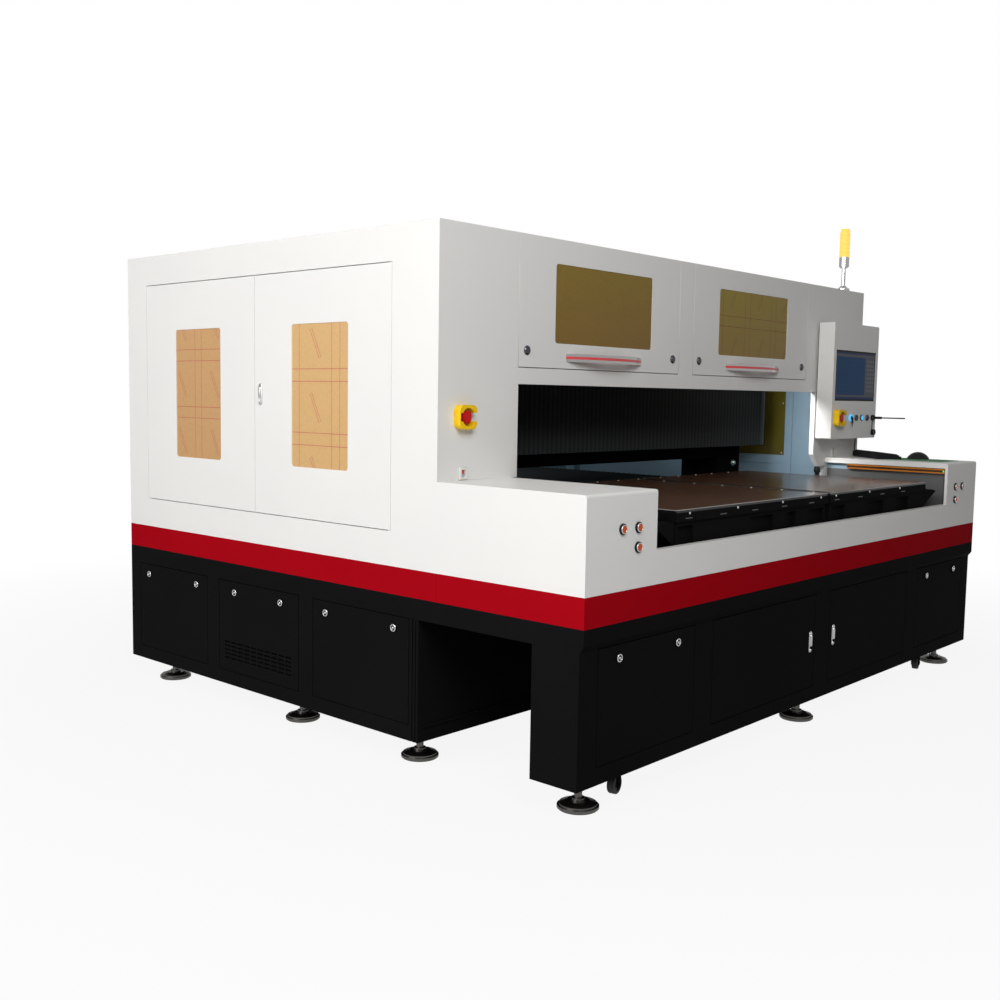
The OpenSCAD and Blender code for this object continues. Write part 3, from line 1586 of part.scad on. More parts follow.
// Points along a smooth curve through the lead's places, two to a span
function curve_at(a, b, c, d, t) = 0.5 * (2 * b + (c - a) * t + (2 * a - 5 * b + 4 * c - d) * t * t
  + (3 * b - a - 3 * c + d) * t * t * t);
lead_n = len(lead_path);
lead_curve = [for (i = [0 : lead_n - 2], k = [0 : 1]) curve_at(lead_path[max(i - 1, 0)], lead_path[i],
  lead_path[i + 1], lead_path[min(i + 2, lead_n - 1)], k / 2), lead_path[lead_n - 1]];
lead_rings = len(lead_curve);
lead_sides = 8;
function lead_ring(i) = let (
  d = unit(lead_curve[min(i + 1, lead_rings - 1)] - lead_curve[max(i - 1, 0)]),
  e = unit(cross(d, [0.3, 1, 0.2])), f = cross(d, e)
) [for (k = [0 : lead_sides - 1])
  lead_curve[i] + lead_r * (cos(k * 360 / lead_sides) * e + sin(k * 360 / lead_sides) * f)];

module keyboard_lead() {
  color(black) place() polyhedron(
    points = [for (i = [0 : lead_rings - 1]) each lead_ring(i)],
    faces = concat(
      [for (i = [0 : lead_rings - 2], k = [0 : lead_sides - 1]) let (m = (k + 1) % lead_sides)
        each [[i * lead_sides + k, (i + 1) * lead_sides + k, i * lead_sides + m],
          [i * lead_sides + m, (i + 1) * lead_sides + k, (i + 1) * lead_sides + m]]],
      [[for (k = [0 : lead_sides - 1]) k]],
      [[for (k = [lead_sides - 1 : -1 : 0]) (lead_rings - 1) * lead_sides + k]]),
    convexity = 6);
}

base_frame();
rear_cabinet();
service_covers();
cover_locks();
levelling_feet();
red_band();
front_cover();
enclosure_liner();
enclosure_skin();
front_header();
right_side_windows();
console_box();
touch_screen();
estop_guards();
stack_light_pole();
stack_light_lens();
cross_beam();
laser_source();
table_bed();
keyboard_and_mouse();
keyboard_lead();
panel_aerial();
light_curtains();
left_beam_bellows();
right_beam_bellows();
left_table_bellows();
right_table_bellows();
left_table();
left_board();
right_table();
right_board();
head_carriage();
laser_head();
left_front_door();
left_front_window();
left_front_handle();
right_front_door();
right_front_window();
right_front_handle();
side_door_front();
side_window_front();
side_door_rear();
side_window_rear();
base_door_left();
base_door_right();
left_estop();
console_estop();
left_button_inner();
left_button_outer();
left_button_lower();
right_button_inner();
right_button_outer();
right_button_lower();
key_switch();
console_button_dark();
console_button_blue();
left_rocker();
right_rocker();
caster_wheel_left();
caster_wheel_right();
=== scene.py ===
# %% [markdown]
# A glass laser cutting machine.
# The machine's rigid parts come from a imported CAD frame. This lesson lights them, gives each its finish,
# and adds what a CAD model leaves out: folded covers, lock faces, bolts, the screen's picture and cords.
# It could all be modelled here, but parts that must fit each other are safer in CAD.

# %% Load the frame
import math

import bmesh
import bpy
import numpy as np
from mathutils import Matrix, Vector


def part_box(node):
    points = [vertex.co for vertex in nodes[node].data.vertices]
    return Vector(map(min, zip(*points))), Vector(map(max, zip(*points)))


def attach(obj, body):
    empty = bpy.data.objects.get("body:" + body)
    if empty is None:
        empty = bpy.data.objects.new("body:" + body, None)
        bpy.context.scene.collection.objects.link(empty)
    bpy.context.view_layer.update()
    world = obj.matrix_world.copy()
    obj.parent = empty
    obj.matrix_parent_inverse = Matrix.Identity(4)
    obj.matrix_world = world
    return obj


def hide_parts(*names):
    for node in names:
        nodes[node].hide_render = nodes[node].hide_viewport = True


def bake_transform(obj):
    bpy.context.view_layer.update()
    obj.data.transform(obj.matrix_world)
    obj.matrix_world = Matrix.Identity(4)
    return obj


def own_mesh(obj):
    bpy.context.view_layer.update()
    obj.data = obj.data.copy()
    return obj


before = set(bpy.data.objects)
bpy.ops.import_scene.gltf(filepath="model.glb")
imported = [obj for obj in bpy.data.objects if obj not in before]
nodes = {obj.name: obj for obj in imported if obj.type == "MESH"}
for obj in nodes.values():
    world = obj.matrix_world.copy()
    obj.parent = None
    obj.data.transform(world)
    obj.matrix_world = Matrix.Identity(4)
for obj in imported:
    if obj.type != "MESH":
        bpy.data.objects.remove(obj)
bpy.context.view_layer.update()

# %% [markdown]
# The camera stands where the photographer stood: at chest height off the machine's left front corner, with a
# slight tilt. The direction is built from three angles, and a matrix holds right, up and backward.

# %% Camera
VIEW_FROM = Vector((-3.8352, -3.0417, 1.1872))
VIEW_TURN, VIEW_TILT, VIEW_ROLL = (math.radians(a) for a in (47.727, -5.256, 0.9197))
LENS_MM, SENSOR_MM = 40.69, 36

ahead = Vector((math.sin(VIEW_TURN) * math.cos(VIEW_TILT), math.cos(VIEW_TURN) * math.cos(VIEW_TILT),
                math.sin(VIEW_TILT)))
level_right = Vector((math.cos(VIEW_TURN), -math.sin(VIEW_TURN), 0))
level_up = level_right.cross(ahead)
right = math.cos(VIEW_ROLL) * level_right + math.sin(VIEW_ROLL) * level_up
up = -math.sin(VIEW_ROLL) * level_right + math.cos(VIEW_ROLL) * level_up

camera = bpy.data.objects.new("Camera", bpy.data.cameras.new("Camera"))
camera.data.lens = LENS_MM
camera.data.sensor_width = SENSOR_MM
bpy.context.scene.collection.objects.link(camera)
camera.matrix_world = Matrix.Translation(VIEW_FROM) @ Matrix((right, up, -ahead)).transposed().to_4x4()
bpy.context.scene.camera = camera
print("camera at", tuple(VIEW_FROM))

# %% [markdown]
# A mesh here is an array of points and an array of faces. One helper puts both into Blender in a few calls,
# welds points that meet and turns the faces outward. A second one makes the faces of a grid of points, open
# or closed either way.

# %% Mesh helpers
WELD_M = 1e-6


def put_mesh(name, points, faces, material=None, smooth=False):
    """A mesh object from an (n, 3) array of points in metres and an (m, 3 or 4) array of corner numbers."""
    mesh = bpy.data.meshes.new(name)
    points = np.asarray(points, np.float32)
    faces = np.asarray(faces, np.int32)
    sides = faces.shape[1]
    mesh.vertices.add(len(points))
    mesh.vertices.foreach_set("co", points.ravel())
    mesh.loops.add(faces.size)
    mesh.loops.foreach_set("vertex_index", faces.ravel())
    mesh.polygons.add(len(faces))
    mesh.polygons.foreach_set("loop_start", np.arange(0, faces.size, sides, dtype=np.int32))
    mesh.polygons.foreach_set("use_smooth", np.full(len(faces), smooth))
    mesh.update(calc_edges=True)
    mesh.validate()
    shell = bmesh.new()
    shell.from_mesh(mesh)
    bmesh.ops.remove_doubles(shell, verts=shell.verts, dist=WELD_M)
    bmesh.ops.recalc_face_normals(shell, faces=shell.faces)
    shell.to_mesh(mesh)
    shell.free()
    if material:
        mesh.materials.append(material)
    piece = bpy.data.objects.new(name, mesh)
    bpy.context.scene.collection.objects.link(piece)
    return piece


def grid_faces(rows, columns, wrap_rows=False, wrap_columns=False):
    """Four-sided faces of a rows x columns grid of points, numbered row by row."""
    i = np.arange(rows if wrap_rows else rows - 1)[:, None]
    j = np.arange(columns if wrap_columns else columns - 1)[None, :]
    i2, j2 = (i + 1) % rows, (j + 1) % columns
    corners = [i * columns + j, i * columns + j2, i2 * columns + j2, i2 * columns + j]
    return np.stack(np.broadcast_arrays(*corners), -1).reshape(-1, 4)


def joined(parts):
    """One (points, faces) pair out of several, with the face numbers moved on."""
    points, faces, start = [], [], 0
    for p, f in parts:
        points.append(p)
        faces.append(np.asarray(f) + start)
        start += len(p)
    return np.concatenate(points), np.concatenate(faces)


def placed(name, body, material, parts, smooth=True):
    """One piece from several parts with one material, riding a body."""
    piece = put_mesh(name, *joined(parts), material=material, smooth=smooth)
    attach(piece, body)
    return piece


print("mesh helpers ready")

# %% [markdown]
# Places are worked out in workshop millimetres from the machine's left front corner: x to the right, y to the
# rear, z up from the floor. The frame's origin is on the floor under the machine's middle. A face has its own
# directions for right, up and outward, so one profile serves the front, a side or a top.

# %% Places and faces
MACHINE_W, MACHINE_D = 2880, 2360
FACING = {"front": ((1, 0, 0), (0, 0, 1), (0, -1, 0)), "left": ((0, 1, 0), (0, 0, 1), (-1, 0, 0)),
          "up": ((1, 0, 0), (0, 1, 0), (0, 0, 1)), "right": ((0, 1, 0), (0, 0, 1), (1, 0, 0))}


def spot(x, y, z):
    """Metres in the frame from workshop millimetres: (x - width / 2, y - depth / 2, z) / 1000."""
    return np.stack(np.broadcast_arrays((np.asarray(x) - MACHINE_W / 2) / 1000,
                                        (np.asarray(y) - MACHINE_D / 2) / 1000, np.asarray(z) / 1000), -1)


def box_mm(node):
    """A node's lowest and highest corners in workshop millimetres, the reverse of spot."""
    return [np.array(corner) * 1000 + (MACHINE_W / 2, MACHINE_D / 2, 0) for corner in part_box(node)]


def set_on(face, centre, across, upward, proud):
    """Points in millimetres on a face: centre + across * right + upward * up + proud * outward."""
    right, up, out = (np.array(v, float) for v in FACING[face])
    across, upward, proud = np.broadcast_arrays(across, upward, proud)
    local = across[..., None] * right + upward[..., None] * up + proud[..., None] * out
    return local / 1000 + spot(*centre)


print("machine", MACHINE_W, "x", MACHINE_D, "mm")

# %% [markdown]
# Nearly every small piece is a row of closed loops with faces between them. The loops come from a profile
# turned round an axis, from a rounded rectangle that shrinks, or from a circle carried along a route.

# %% Lofted shapes
def lofted(loops, hollow=False):
    """Faces between closed loops of equal point count; hollow joins the last loop to the first."""
    rows, columns = loops.shape[:2]
    return loops.reshape(-1, 3), grid_faces(rows, columns, wrap_rows=hollow, wrap_columns=True)


def capped(loops):
    """Lofted loops with both ends shut by the first and last loops, each shrunk to its own middle."""
    middles = np.repeat(loops[[0, -1]].mean(1, keepdims=True), loops.shape[1], axis=1)
    return lofted(np.concatenate([middles[:1], loops, middles[1:]]))


def turned(face, centre, profile, around=32, hollow=False):
    """A profile of (radius, proud) pairs in millimetres swept round: across = r cos a, upward = r sin a."""
    profile = np.asarray(profile, float)
    a = np.linspace(0, 2 * math.pi, around, endpoint=False)
    r, out = profile[:, :1], profile[:, 1:]
    return lofted(set_on(face, centre, r * np.cos(a), r * np.sin(a), out + 0 * a), hollow)


def round_rect(w, h, r, steps=5):
    """Points round a rectangle with quarter-circle corners: each corner's centre plus r (cos a, sin a)."""
    a = np.linspace(0, math.pi / 2, steps)
    turn = np.concatenate([a + k * math.pi / 2 for k in range(4)])
    sx, sy = np.repeat([1, -1, -1, 1], steps), np.repeat([1, 1, -1, -1], steps)
    return sx * (w / 2 - r) + r * np.cos(turn), sy * (h / 2 - r) + r * np.sin(turn)


def plate(face, centre, w, h, r, thick, bevel=0.8, dish=0.0):
    """A rounded plate: straight sides, a bevelled rim and a top that may be dished or domed."""
    u, v = round_rect(w, h, r)
    scale = np.array([0, 1, 1, 1 - 2 * bevel / min(w, h), 0.5, 0])[:, None]
    out = np.array([0, 0, thick - bevel, thick, thick + 0.75 * dish, thick + dish])[:, None]
    return lofted(set_on(face, centre, scale * u, scale * v, out + 0 * u))


def frame_ring(face, centre, outer, inner, r, thick, bevel=0.5):
    """A flat frame: rounded rectangles from the outer size to the inner one, over the front and back."""
    (w, h), (u, v), b = outer, inner, bevel
    sizes = ((w, h), (w, h), (w - 2 * b, h - 2 * b), (u + 2 * b, v + 2 * b), (u, v), (u, v))
    outlines = np.array([round_rect(*size, r) for size in sizes])
    out = np.array([0, thick - b, thick, thick, thick - b, 0])[:, None]
    across, upward = outlines[:, 0], outlines[:, 1]
    return lofted(set_on(face, centre, across, upward, out + 0 * across), hollow=True)


def bead(x, y, z0, z1, r, around=8):
    """An upright round bar: x + r cos a, y + r sin a, from z0 to z1, closed at both ends."""
    a = np.linspace(0, 2 * math.pi, around, endpoint=False)
    return capped(np.stack([spot(x + r * np.cos(a), y + r * np.sin(a), z + 0 * a) for z in (z0, z1)]))


print("shapes ready")

# %% [markdown]
# A finish is a small network of nodes. These helpers each add one node, and take a plain number, a colour or
# another node's socket for every input, so that a finish reads like a formula.

# %% Node helpers
def feed(tree, value, socket):
    """Set a socket to a number or a colour, or link it from another socket."""
    if isinstance(value, (int, float)):
        socket.default_value = value
    elif isinstance(value, (tuple, list)):
        socket.default_value = (*value, 1)
    else:
        tree.links.new(value, socket)


def noise(tree, vector, scale, detail=2.0, rough=0.5):
    """Fractal noise from 0 to 1; scale counts its cells per metre."""
    n = tree.nodes.new("ShaderNodeTexNoise")
    for label, value in (("Vector", vector), ("Scale", scale), ("Detail", detail), ("Roughness", rough)):
        feed(tree, value, n.inputs[label])
    return n.outputs["Fac"]


def maths(tree, kind, *values):
    """One Math node of the given kind on up to three values."""
    m = tree.nodes.new("ShaderNodeMath")
    m.operation = kind
    for value, socket in zip(values, m.inputs):
        feed(tree, value, socket)
    return m.outputs[0]


def blended(tree, amount, a, b):
    """Mix of two colours: amount 0 gives a, 1 gives b. Each is a socket or three numbers."""
    m = tree.nodes.new("ShaderNodeMix")
    m.data_type = "RGBA"
    for socket, value in ((m.inputs[0], amount), (m.inputs[6], a), (m.inputs[7], b)):
        feed(tree, value, socket)
    return m.outputs[2]


def axes_of(tree, vector):
    """The X, Y and Z of a vector."""
    parts = tree.nodes.new("ShaderNodeSeparateXYZ")
    feed(tree, vector, parts.inputs[0])
    return parts.outputs


def stretched(tree, vector, scale):
    """A vector times three numbers, which draws a pattern out along the smallest one."""
    mapping = tree.nodes.new("ShaderNodeMapping")
    mapping.inputs["Scale"].default_value = scale
    feed(tree, vector, mapping.inputs["Vector"])
    return mapping.outputs["Vector"]


def ranged(tree, value, low, high, to=(0.0, 1.0)):
    """The value's place between low and high, carried over to the range to and held inside it."""
    fit = tree.nodes.new("ShaderNodeMapRange")
    for label, number in zip(("Value", "From Min", "From Max", "To Min", "To Max"), (value, low, high, *to)):
        feed(tree, number, fit.inputs[label])
    return fit.outputs["Result"]


def group_of(name, inputs, outputs):
    """An empty shader group with the named float and vector sockets."""
    kinds = {"f": "NodeSocketFloat", "v": "NodeSocketVector"}
    tree = bpy.data.node_groups.new(name, "ShaderNodeTree")
    for label, kind in inputs:
        tree.interface.new_socket(name=label, in_out="INPUT", socket_type=kinds[kind])
    for label, kind in outputs:
        tree.interface.new_socket(name=label, in_out="OUTPUT", socket_type=kinds[kind])
    return tree, tree.nodes.new("NodeGroupInput").outputs, tree.nodes.new("NodeGroupOutput").inputs


def use_group(tree, group, **values):
    """A group's outputs in a material; an input named Shift_up is the socket Shift up."""
    node = tree.nodes.new("ShaderNodeGroup")
    node.node_tree = group
    for label, value in values.items():
        feed(tree, value, node.inputs[label.replace("_", " ")])
    return node.outputs


def dimmed(colour, share):
    """A colour times a share."""
    return tuple(share * c for c in colour)


print("node helpers ready")

# %% [markdown]
# Finishes share a few effects: the fine orange peel of powder coat with a soft cloudiness, and dust that
# settles on faces that look up. Each effect is a node group with named sockets, built once for all.

# %% Shader groups
peel, peel_in, peel_out = group_of("Orange peel", [("Vector", "v"), ("Grain", "f"), ("Cloud", "f")],
                                   [("Height", "f"), ("Tone", "f")])
feed(peel, noise(peel, peel_in["Vector"], peel_in["Grain"], 1.0), peel_out["Height"])
feed(peel, noise(peel, peel_in["Vector"], peel_in["Cloud"], 3.0), peel_out["Tone"])

dust, dust_in, dust_out = group_of("Settled dust", [("Vector", "v"), ("Patches", "f")], [("Mask", "f")])
normal = dust.nodes.new("ShaderNodeNewGeometry").outputs["Normal"]
facing_up = maths(dust, "MAXIMUM", axes_of(dust, normal)["Z"], 0.0)
patches = noise(dust, dust_in["Vector"], dust_in["Patches"], 5.0)
feed(dust, maths(dust, "MULTIPLY", patches, facing_up), dust_out["Mask"])
print("groups", [g.name for g in bpy.data.node_groups])

# %% [markdown]
# A finish is one material. The first helper starts each of them: a Principled shader with its plain numbers
# on its own sockets, and Object coordinates. A coat adds a fine bump and a base colour that drifts a little.

# %% Coats
DUST_GREY, DUST_PATCHES, PEEL_M = (0.42, 0.41, 0.39), 14.0, 0.0004


def start_material(name, rough, metal=0.0, shine=0.5):
    """A new material, its node tree, its shader and its Object coordinates."""
    material = bpy.data.materials.new(name)
    material.use_nodes = True
    tree = material.node_tree
    shader = tree.nodes["Principled BSDF"].inputs
    for label, value in (("Roughness", rough), ("Metallic", metal), ("Specular IOR Level", shine)):
        shader[label].default_value = value
    return material, tree, shader, tree.nodes.new("ShaderNodeTexCoord").outputs["Object"]


def add_bump(tree, shader, height, strength, distance):
    """Small relief from a height between 0 and 1, at most distance metres deep."""
    bump = tree.nodes.new("ShaderNodeBump")
    for label, value in (("Height", height), ("Strength", strength), ("Distance", distance)):
        feed(tree, value, bump.inputs[label])
    feed(tree, bump.outputs["Normal"], shader["Normal"])


def coated(name, colour, darker, rough, grain=900.0, cloud=3.0, bump=0.15, dusty=0.0, shine=0.5):
    """Powder coat or paint: two near colours mixed by cloudy noise, a fine bump, and dust on top faces."""
    material, tree, shader, where = start_material(name, rough, shine=shine)
    effect = use_group(tree, peel, Vector=where, Grain=grain, Cloud=cloud)
    paint = blended(tree, effect["Tone"], colour, darker)
    if dusty:
        film = use_group(tree, dust, Vector=where, Patches=DUST_PATCHES)
        paint = blended(tree, maths(tree, "MULTIPLY", film["Mask"], dusty), paint, DUST_GREY)
    feed(tree, paint, shader["Base Color"])
    add_bump(tree, shader, effect["Height"], bump, PEEL_M)
    return material


white_coat = coated("White powder coat", (0.80, 0.79, 0.765), (0.76, 0.755, 0.74), 0.40, grain=1100,
                    bump=0.12, shine=0.25)
red_coat = coated("Red powder coat", (0.36, 0.003, 0.008), (0.32, 0.002, 0.007), 0.45, grain=1100,
                  shine=0.004)
black_coat = coated("Black powder coat", (0.0056, 0.0056, 0.0060), (0.0080, 0.0080, 0.0086), 0.5,
                    grain=1400, bump=0.25, dusty=0.012, shine=0.004)
inner_coat = coated("Blue-grey inner paint", (0.30, 0.43, 0.53), (0.26, 0.385, 0.48), 0.5, cloud=5.0,
                    shine=0.3)
grey_casting = coated("Dark machine paint", (0.050, 0.052, 0.055), (0.034, 0.035, 0.038), 0.5,
                      grain=400, bump=0.3)
instrument_coat = coated("Instrument paint", (0.55, 0.55, 0.54), (0.49, 0.49, 0.485), 0.45)
black_plastic = coated("Black moulded plastic", (0.006, 0.006, 0.007), (0.010, 0.010, 0.011), 0.45,
                       grain=2600, shine=0.15)
white_plastic = coated("Ivory plastic", (0.78, 0.77, 0.72), (0.72, 0.71, 0.66), 0.35, grain=2200)
mat_green = coated("Green desk mat", (0.03, 0.16, 0.045), (0.045, 0.20, 0.06), 0.7, grain=2600,
                   cloud=30, bump=0.4)
wheel_rubber = coated("Caster rubber", (0.030, 0.030, 0.031), (0.045, 0.044, 0.043), 0.6, grain=1600,
                      bump=0.3)
yellow_plastic = coated("Yellow plastic", (0.90, 0.58, 0.008), (0.84, 0.52, 0.006), 0.3, grain=2200,
                        shine=0.2)
red_plastic = coated("Red plastic", (0.62, 0.008, 0.010), (0.54, 0.006, 0.008), 0.28, grain=2200,
                     shine=0.2)
print("coats done")

# %% [markdown]
# Three parts carry a stripe: the light curtain's dark window, the red line round a bow handle, and the red
# upper
# half of a rocker. Each is two colours chosen by height, so the stripe needs no piece of its own.

# %% Striped parts
CURTAIN_WINDOW, HANDLE_STRIPE, ROCKER_RED = (0.8855, 0.8945), (1.3155, 1.3245), (0.945, 1.0)


def banded(name, edges, inner, outer, rough, metal=0.0):
    """Two colours by height: inner between the two edges in metres, outer elsewhere."""
    material, tree, shader, where = start_material(name, rough, metal)
    height = axes_of(tree, where)["Z"]
    band = maths(tree, "MULTIPLY", maths(tree, "GREATER_THAN", height, edges[0]),
                 maths(tree, "LESS_THAN", height, edges[1]))
    drift = maths(tree, "MULTIPLY", noise(tree, where, 30.0, 3.0), 0.25)
    tone = blended(tree, band, outer, inner)
    feed(tree, blended(tree, drift, tone, dimmed(outer, 0.6)), shader["Base Color"])
    if metal:
        bare = maths(tree, "SUBTRACT", metal, maths(tree, "MULTIPLY", band, metal))
        feed(tree, bare, shader["Metallic"])
    return material


curtain_coat = banded("Light curtain housing", CURTAIN_WINDOW, (0.006, 0.005, 0.006),
                      (0.62, 0.20, 0.012), 0.3)
handle_steel = banded("Handle with a red stripe", HANDLE_STRIPE, (0.80, 0.012, 0.02), (0.62, 0.62, 0.61),
                      0.16, metal=1.0)
rocker_face = banded("Two-colour rocker", ROCKER_RED, (0.62, 0.008, 0.015), (0.42, 0.50, 0.66), 0.3)
print("stripes done")

# %% [markdown]
# Bare metal differs from paint by its tight highlights. Polished plate has faint smudges in its roughness,
# and turned steel has fine rings, made by squeezing the noise along its axis.

# %% Metals
def metal(name, colour, rough, streak=(1, 1, 1), grain=60.0, spread=0.12, bump=0.0):
    """Metal whose roughness drifts between rough and rough + spread on stretched noise."""
    material, tree, shader, where = start_material(name, rough, metal=1.0)
    marks = noise(tree, stretched(tree, where, streak), grain, 4.0, 0.6)
    feed(tree, maths(tree, "MULTIPLY_ADD", marks, spread, rough), shader["Roughness"])
    feed(tree, blended(tree, marks, colour, dimmed(colour, 0.82)), shader["Base Color"])
    if bump:
        add_bump(tree, shader, marks, bump, 0.0003)
    return material


RING_MARKS = (1, 1, 30)
polished = metal("Polished plate", (0.74, 0.74, 0.73), 0.10, grain=40.0)
turned_steel = metal("Turned steel", (0.50, 0.50, 0.48), 0.24, streak=RING_MARKS, grain=50.0, bump=0.15)
zinc = metal("Zinc plated bolts", (0.74, 0.74, 0.72), 0.30, grain=90.0)
foot_steel = metal("Oiled foot steel", (0.16, 0.155, 0.145), 0.26, streak=RING_MARKS, grain=50.0, bump=0.1)
slot_steel = metal("Slot inserts", (0.13, 0.13, 0.13), 0.40, grain=90.0)
dark_chrome = metal("Dark chrome", (0.11, 0.11, 0.12), 0.16, grain=70.0)
print("metals done")

# %% [markdown]
# The tabletops are glossy brown board. It looks dark from above and mirrors the bright room at a flat angle,
# which is plain Fresnel gloss. Faint streaks run along the board as they do in pressed laminate. Its edge is
# black, with a pale line along the top that is a painted highlight, so the colour also depends on height.

# %% Brown board
PAINTED_HIGHLIGHT_EDGE_Z, BLACK_EDGE_Z, BOARD_ROUGH = 0.8527, 0.8502, 0.17
brown_board, tree, shader, where = start_material("Brown laminate board", BOARD_ROUGH)
streaks = noise(tree, stretched(tree, where, (1.2, 7.0, 7.0)), 4.0, 2.0, 0.5)
laminate = blended(tree, streaks, (0.098, 0.046, 0.024), (0.112, 0.055, 0.030))
height = axes_of(tree, where)["Z"]
# The pale line at the top of the edge is a painted highlight; below it the edge is black.
for edge_z, edge_colour in ((PAINTED_HIGHLIGHT_EDGE_Z, (0.34, 0.33, 0.32)), (BLACK_EDGE_Z, (0.008, 0.008, 0.009))):
    laminate = blended(tree, maths(tree, "LESS_THAN", height, edge_z), laminate, edge_colour)
feed(tree, laminate, shader["Base Color"])
clouds = noise(tree, where, 2.2, 3.0)
feed(tree, maths(tree, "MULTIPLY_ADD", clouds, 0.08, BOARD_ROUGH), shader["Roughness"])
print("board edges at z", PAINTED_HIGHLIGHT_EDGE_Z, BLACK_EDGE_Z)

# %% [markdown]
# The laser-safety panes still wear their masking paper. Its print is a plain grid of double lines with short
# slanted strokes between them. The grid is arithmetic on two coordinates: the distance to the nearest line of
# each family, turned into a thin mask. One group serves the paper and the filmed panes.

# %% Masking paper print
PRINT_PITCH, PRINT_PAIR, PRINT_LINE = 0.215, 0.042, 0.0011
STROKE_PLACE, STROKE_REACH, STROKE_GAP, STROKE_LINE = 0.085, 0.055, 0.005, 0.0010
SLANT_ACROSS, SLANT_UP = 0.45, 0.89
PRINT_INPUTS = [(label, "f") for label in ("Across", "Up", "Shift across", "Shift up")]
print_grid, grid_in, grid_out = group_of("Masking print", PRINT_INPUTS, [("Lines", "f")])


def step(kind, *values):
    """One Math node of the print."""
    return maths(print_grid, kind, *values)


def line_family(value, offset):
    """1 on lines every PRINT_PITCH: the folded distance to a line is compared with half its width."""
    folded = step("PINGPONG", step("ADD", value, offset), PRINT_PITCH / 2)
    return step("LESS_THAN", folded, PRINT_LINE)


across = step("ADD", grid_in["Across"], grid_in["Shift across"])
upward = step("ADD", grid_in["Up"], grid_in["Shift up"])
lines = line_family(across, 0.0)
for value, offset in ((across, PRINT_PAIR), (upward, 0.0), (upward, PRINT_PAIR)):
    lines = step("MAXIMUM", lines, line_family(value, offset))
cell_a, cell_u = (step("SUBTRACT", step("WRAP", value, PRINT_PITCH, 0.0), STROKE_PLACE)
                  for value in (across, upward))
along = step("MULTIPLY_ADD", cell_a, SLANT_ACROSS, step("MULTIPLY", cell_u, SLANT_UP))
beside = step("MULTIPLY_ADD", cell_a, SLANT_UP, step("MULTIPLY", cell_u, -SLANT_ACROSS))
near = step("LESS_THAN", step("ABSOLUTE", along), STROKE_REACH)
for offset in (-STROKE_GAP, STROKE_GAP):
    stroke = step("LESS_THAN", step("ABSOLUTE", step("ADD", beside, offset)), STROKE_LINE)
    lines = step("MAXIMUM", lines, step("MULTIPLY", stroke, near))
feed(print_grid, lines, grid_out["Lines"])
print("print nodes", len(print_grid.nodes))

# %% [markdown]
# The paper is kraft brown and fibrous, and warmer at the foot of each pane. The filmed panes of the lift
# doors
# are olive and glossier. All of them are one function with other colours.

# %% Panes
SIDE_SPAN, FRONT_SPAN, INK_STRENGTH = (0.93, 1.42), (1.366, 1.63), 0.75


def printed_pane(name, top, foot, ink, span, rough, faint, shifts=(0.0, 0.0), sideways="Y"):
    """Paper or film: colour runs from foot to top over span in z, and ink lies in the print's lines."""
    material, tree, shader, where = start_material(name, rough, shine=0.25)
    axes = axes_of(tree, where)
    marks = use_group(tree, print_grid, Across=axes[sideways], Up=axes["Z"], Shift_across=shifts[0],
                      Shift_up=shifts[1])
    fibres = noise(tree, where, 120.0, 4.0, 0.7)
    paper = blended(tree, ranged(tree, axes["Z"], *span), foot, top)
    paper = blended(tree, maths(tree, "MULTIPLY", fibres, 0.75), paper, dimmed(foot, 0.66))
    inked = maths(tree, "MULTIPLY", marks["Lines"], faint)
    feed(tree, blended(tree, inked, paper, ink), shader["Base Color"])
    add_bump(tree, shader, fibres, 0.12, 0.0003)
    return material


kraft_front = printed_pane("Kraft masking paper", (0.71, 0.45, 0.20), (0.68, 0.42, 0.18),
                           (0.45, 0.04, 0.07), SIDE_SPAN, 0.62, INK_STRENGTH, shifts=(0.103, -1.053))
kraft_rear = printed_pane("Kraft paper, rear pane", (0.63, 0.37, 0.17), (0.59, 0.34, 0.15),
                          (0.42, 0.04, 0.07), SIDE_SPAN, 0.62, INK_STRENGTH, shifts=(-0.704, -1.128))
olive = printed_pane("Filmed safety pane", (0.28, 0.190, 0.020), (0.25, 0.145, 0.028), (0.13, 0.02, 0.02),
                     FRONT_SPAN, 0.22, 0.0, sideways="X")
olive_printed = printed_pane("Filmed pane over paper", (0.34, 0.26, 0.018), (0.31, 0.20, 0.034),
                             (0.16, 0.012, 0.012), FRONT_SPAN, 0.22, INK_STRENGTH, shifts=(0.05, -0.02),
                             sideways="X")
olive_inner = printed_pane("Filmed inner pane", (0.16, 0.14, 0.012), (0.14, 0.11, 0.016),
                           (0.10, 0.012, 0.010), SIDE_SPAN, 0.3, 0.3, shifts=(0.103, -1.053))
print("panes done")

# %% [markdown]
# The lamp's lens and the lit buttons send out a little light of their own. The emission is weak, so that they
# read as lit in a bright room and don't light the machine. The lens also has fine ribs along its height.

# %% Lit plastics
RIB_M = 0.003


def glowing(name, colour, glow, strength):
    """Gloss plastic with a faint glow whose colour drifts on noise."""
    material, tree, shader, where = start_material(name, 0.25, shine=0.25)
    drift = noise(tree, where, 55.0, 2.0)
    feed(tree, blended(tree, drift, colour, dimmed(colour, 0.85)), shader["Base Color"])
    feed(tree, blended(tree, drift, glow, dimmed(glow, 0.8)), shader["Emission Color"])
    shader["Emission Strength"].default_value = strength
    return material


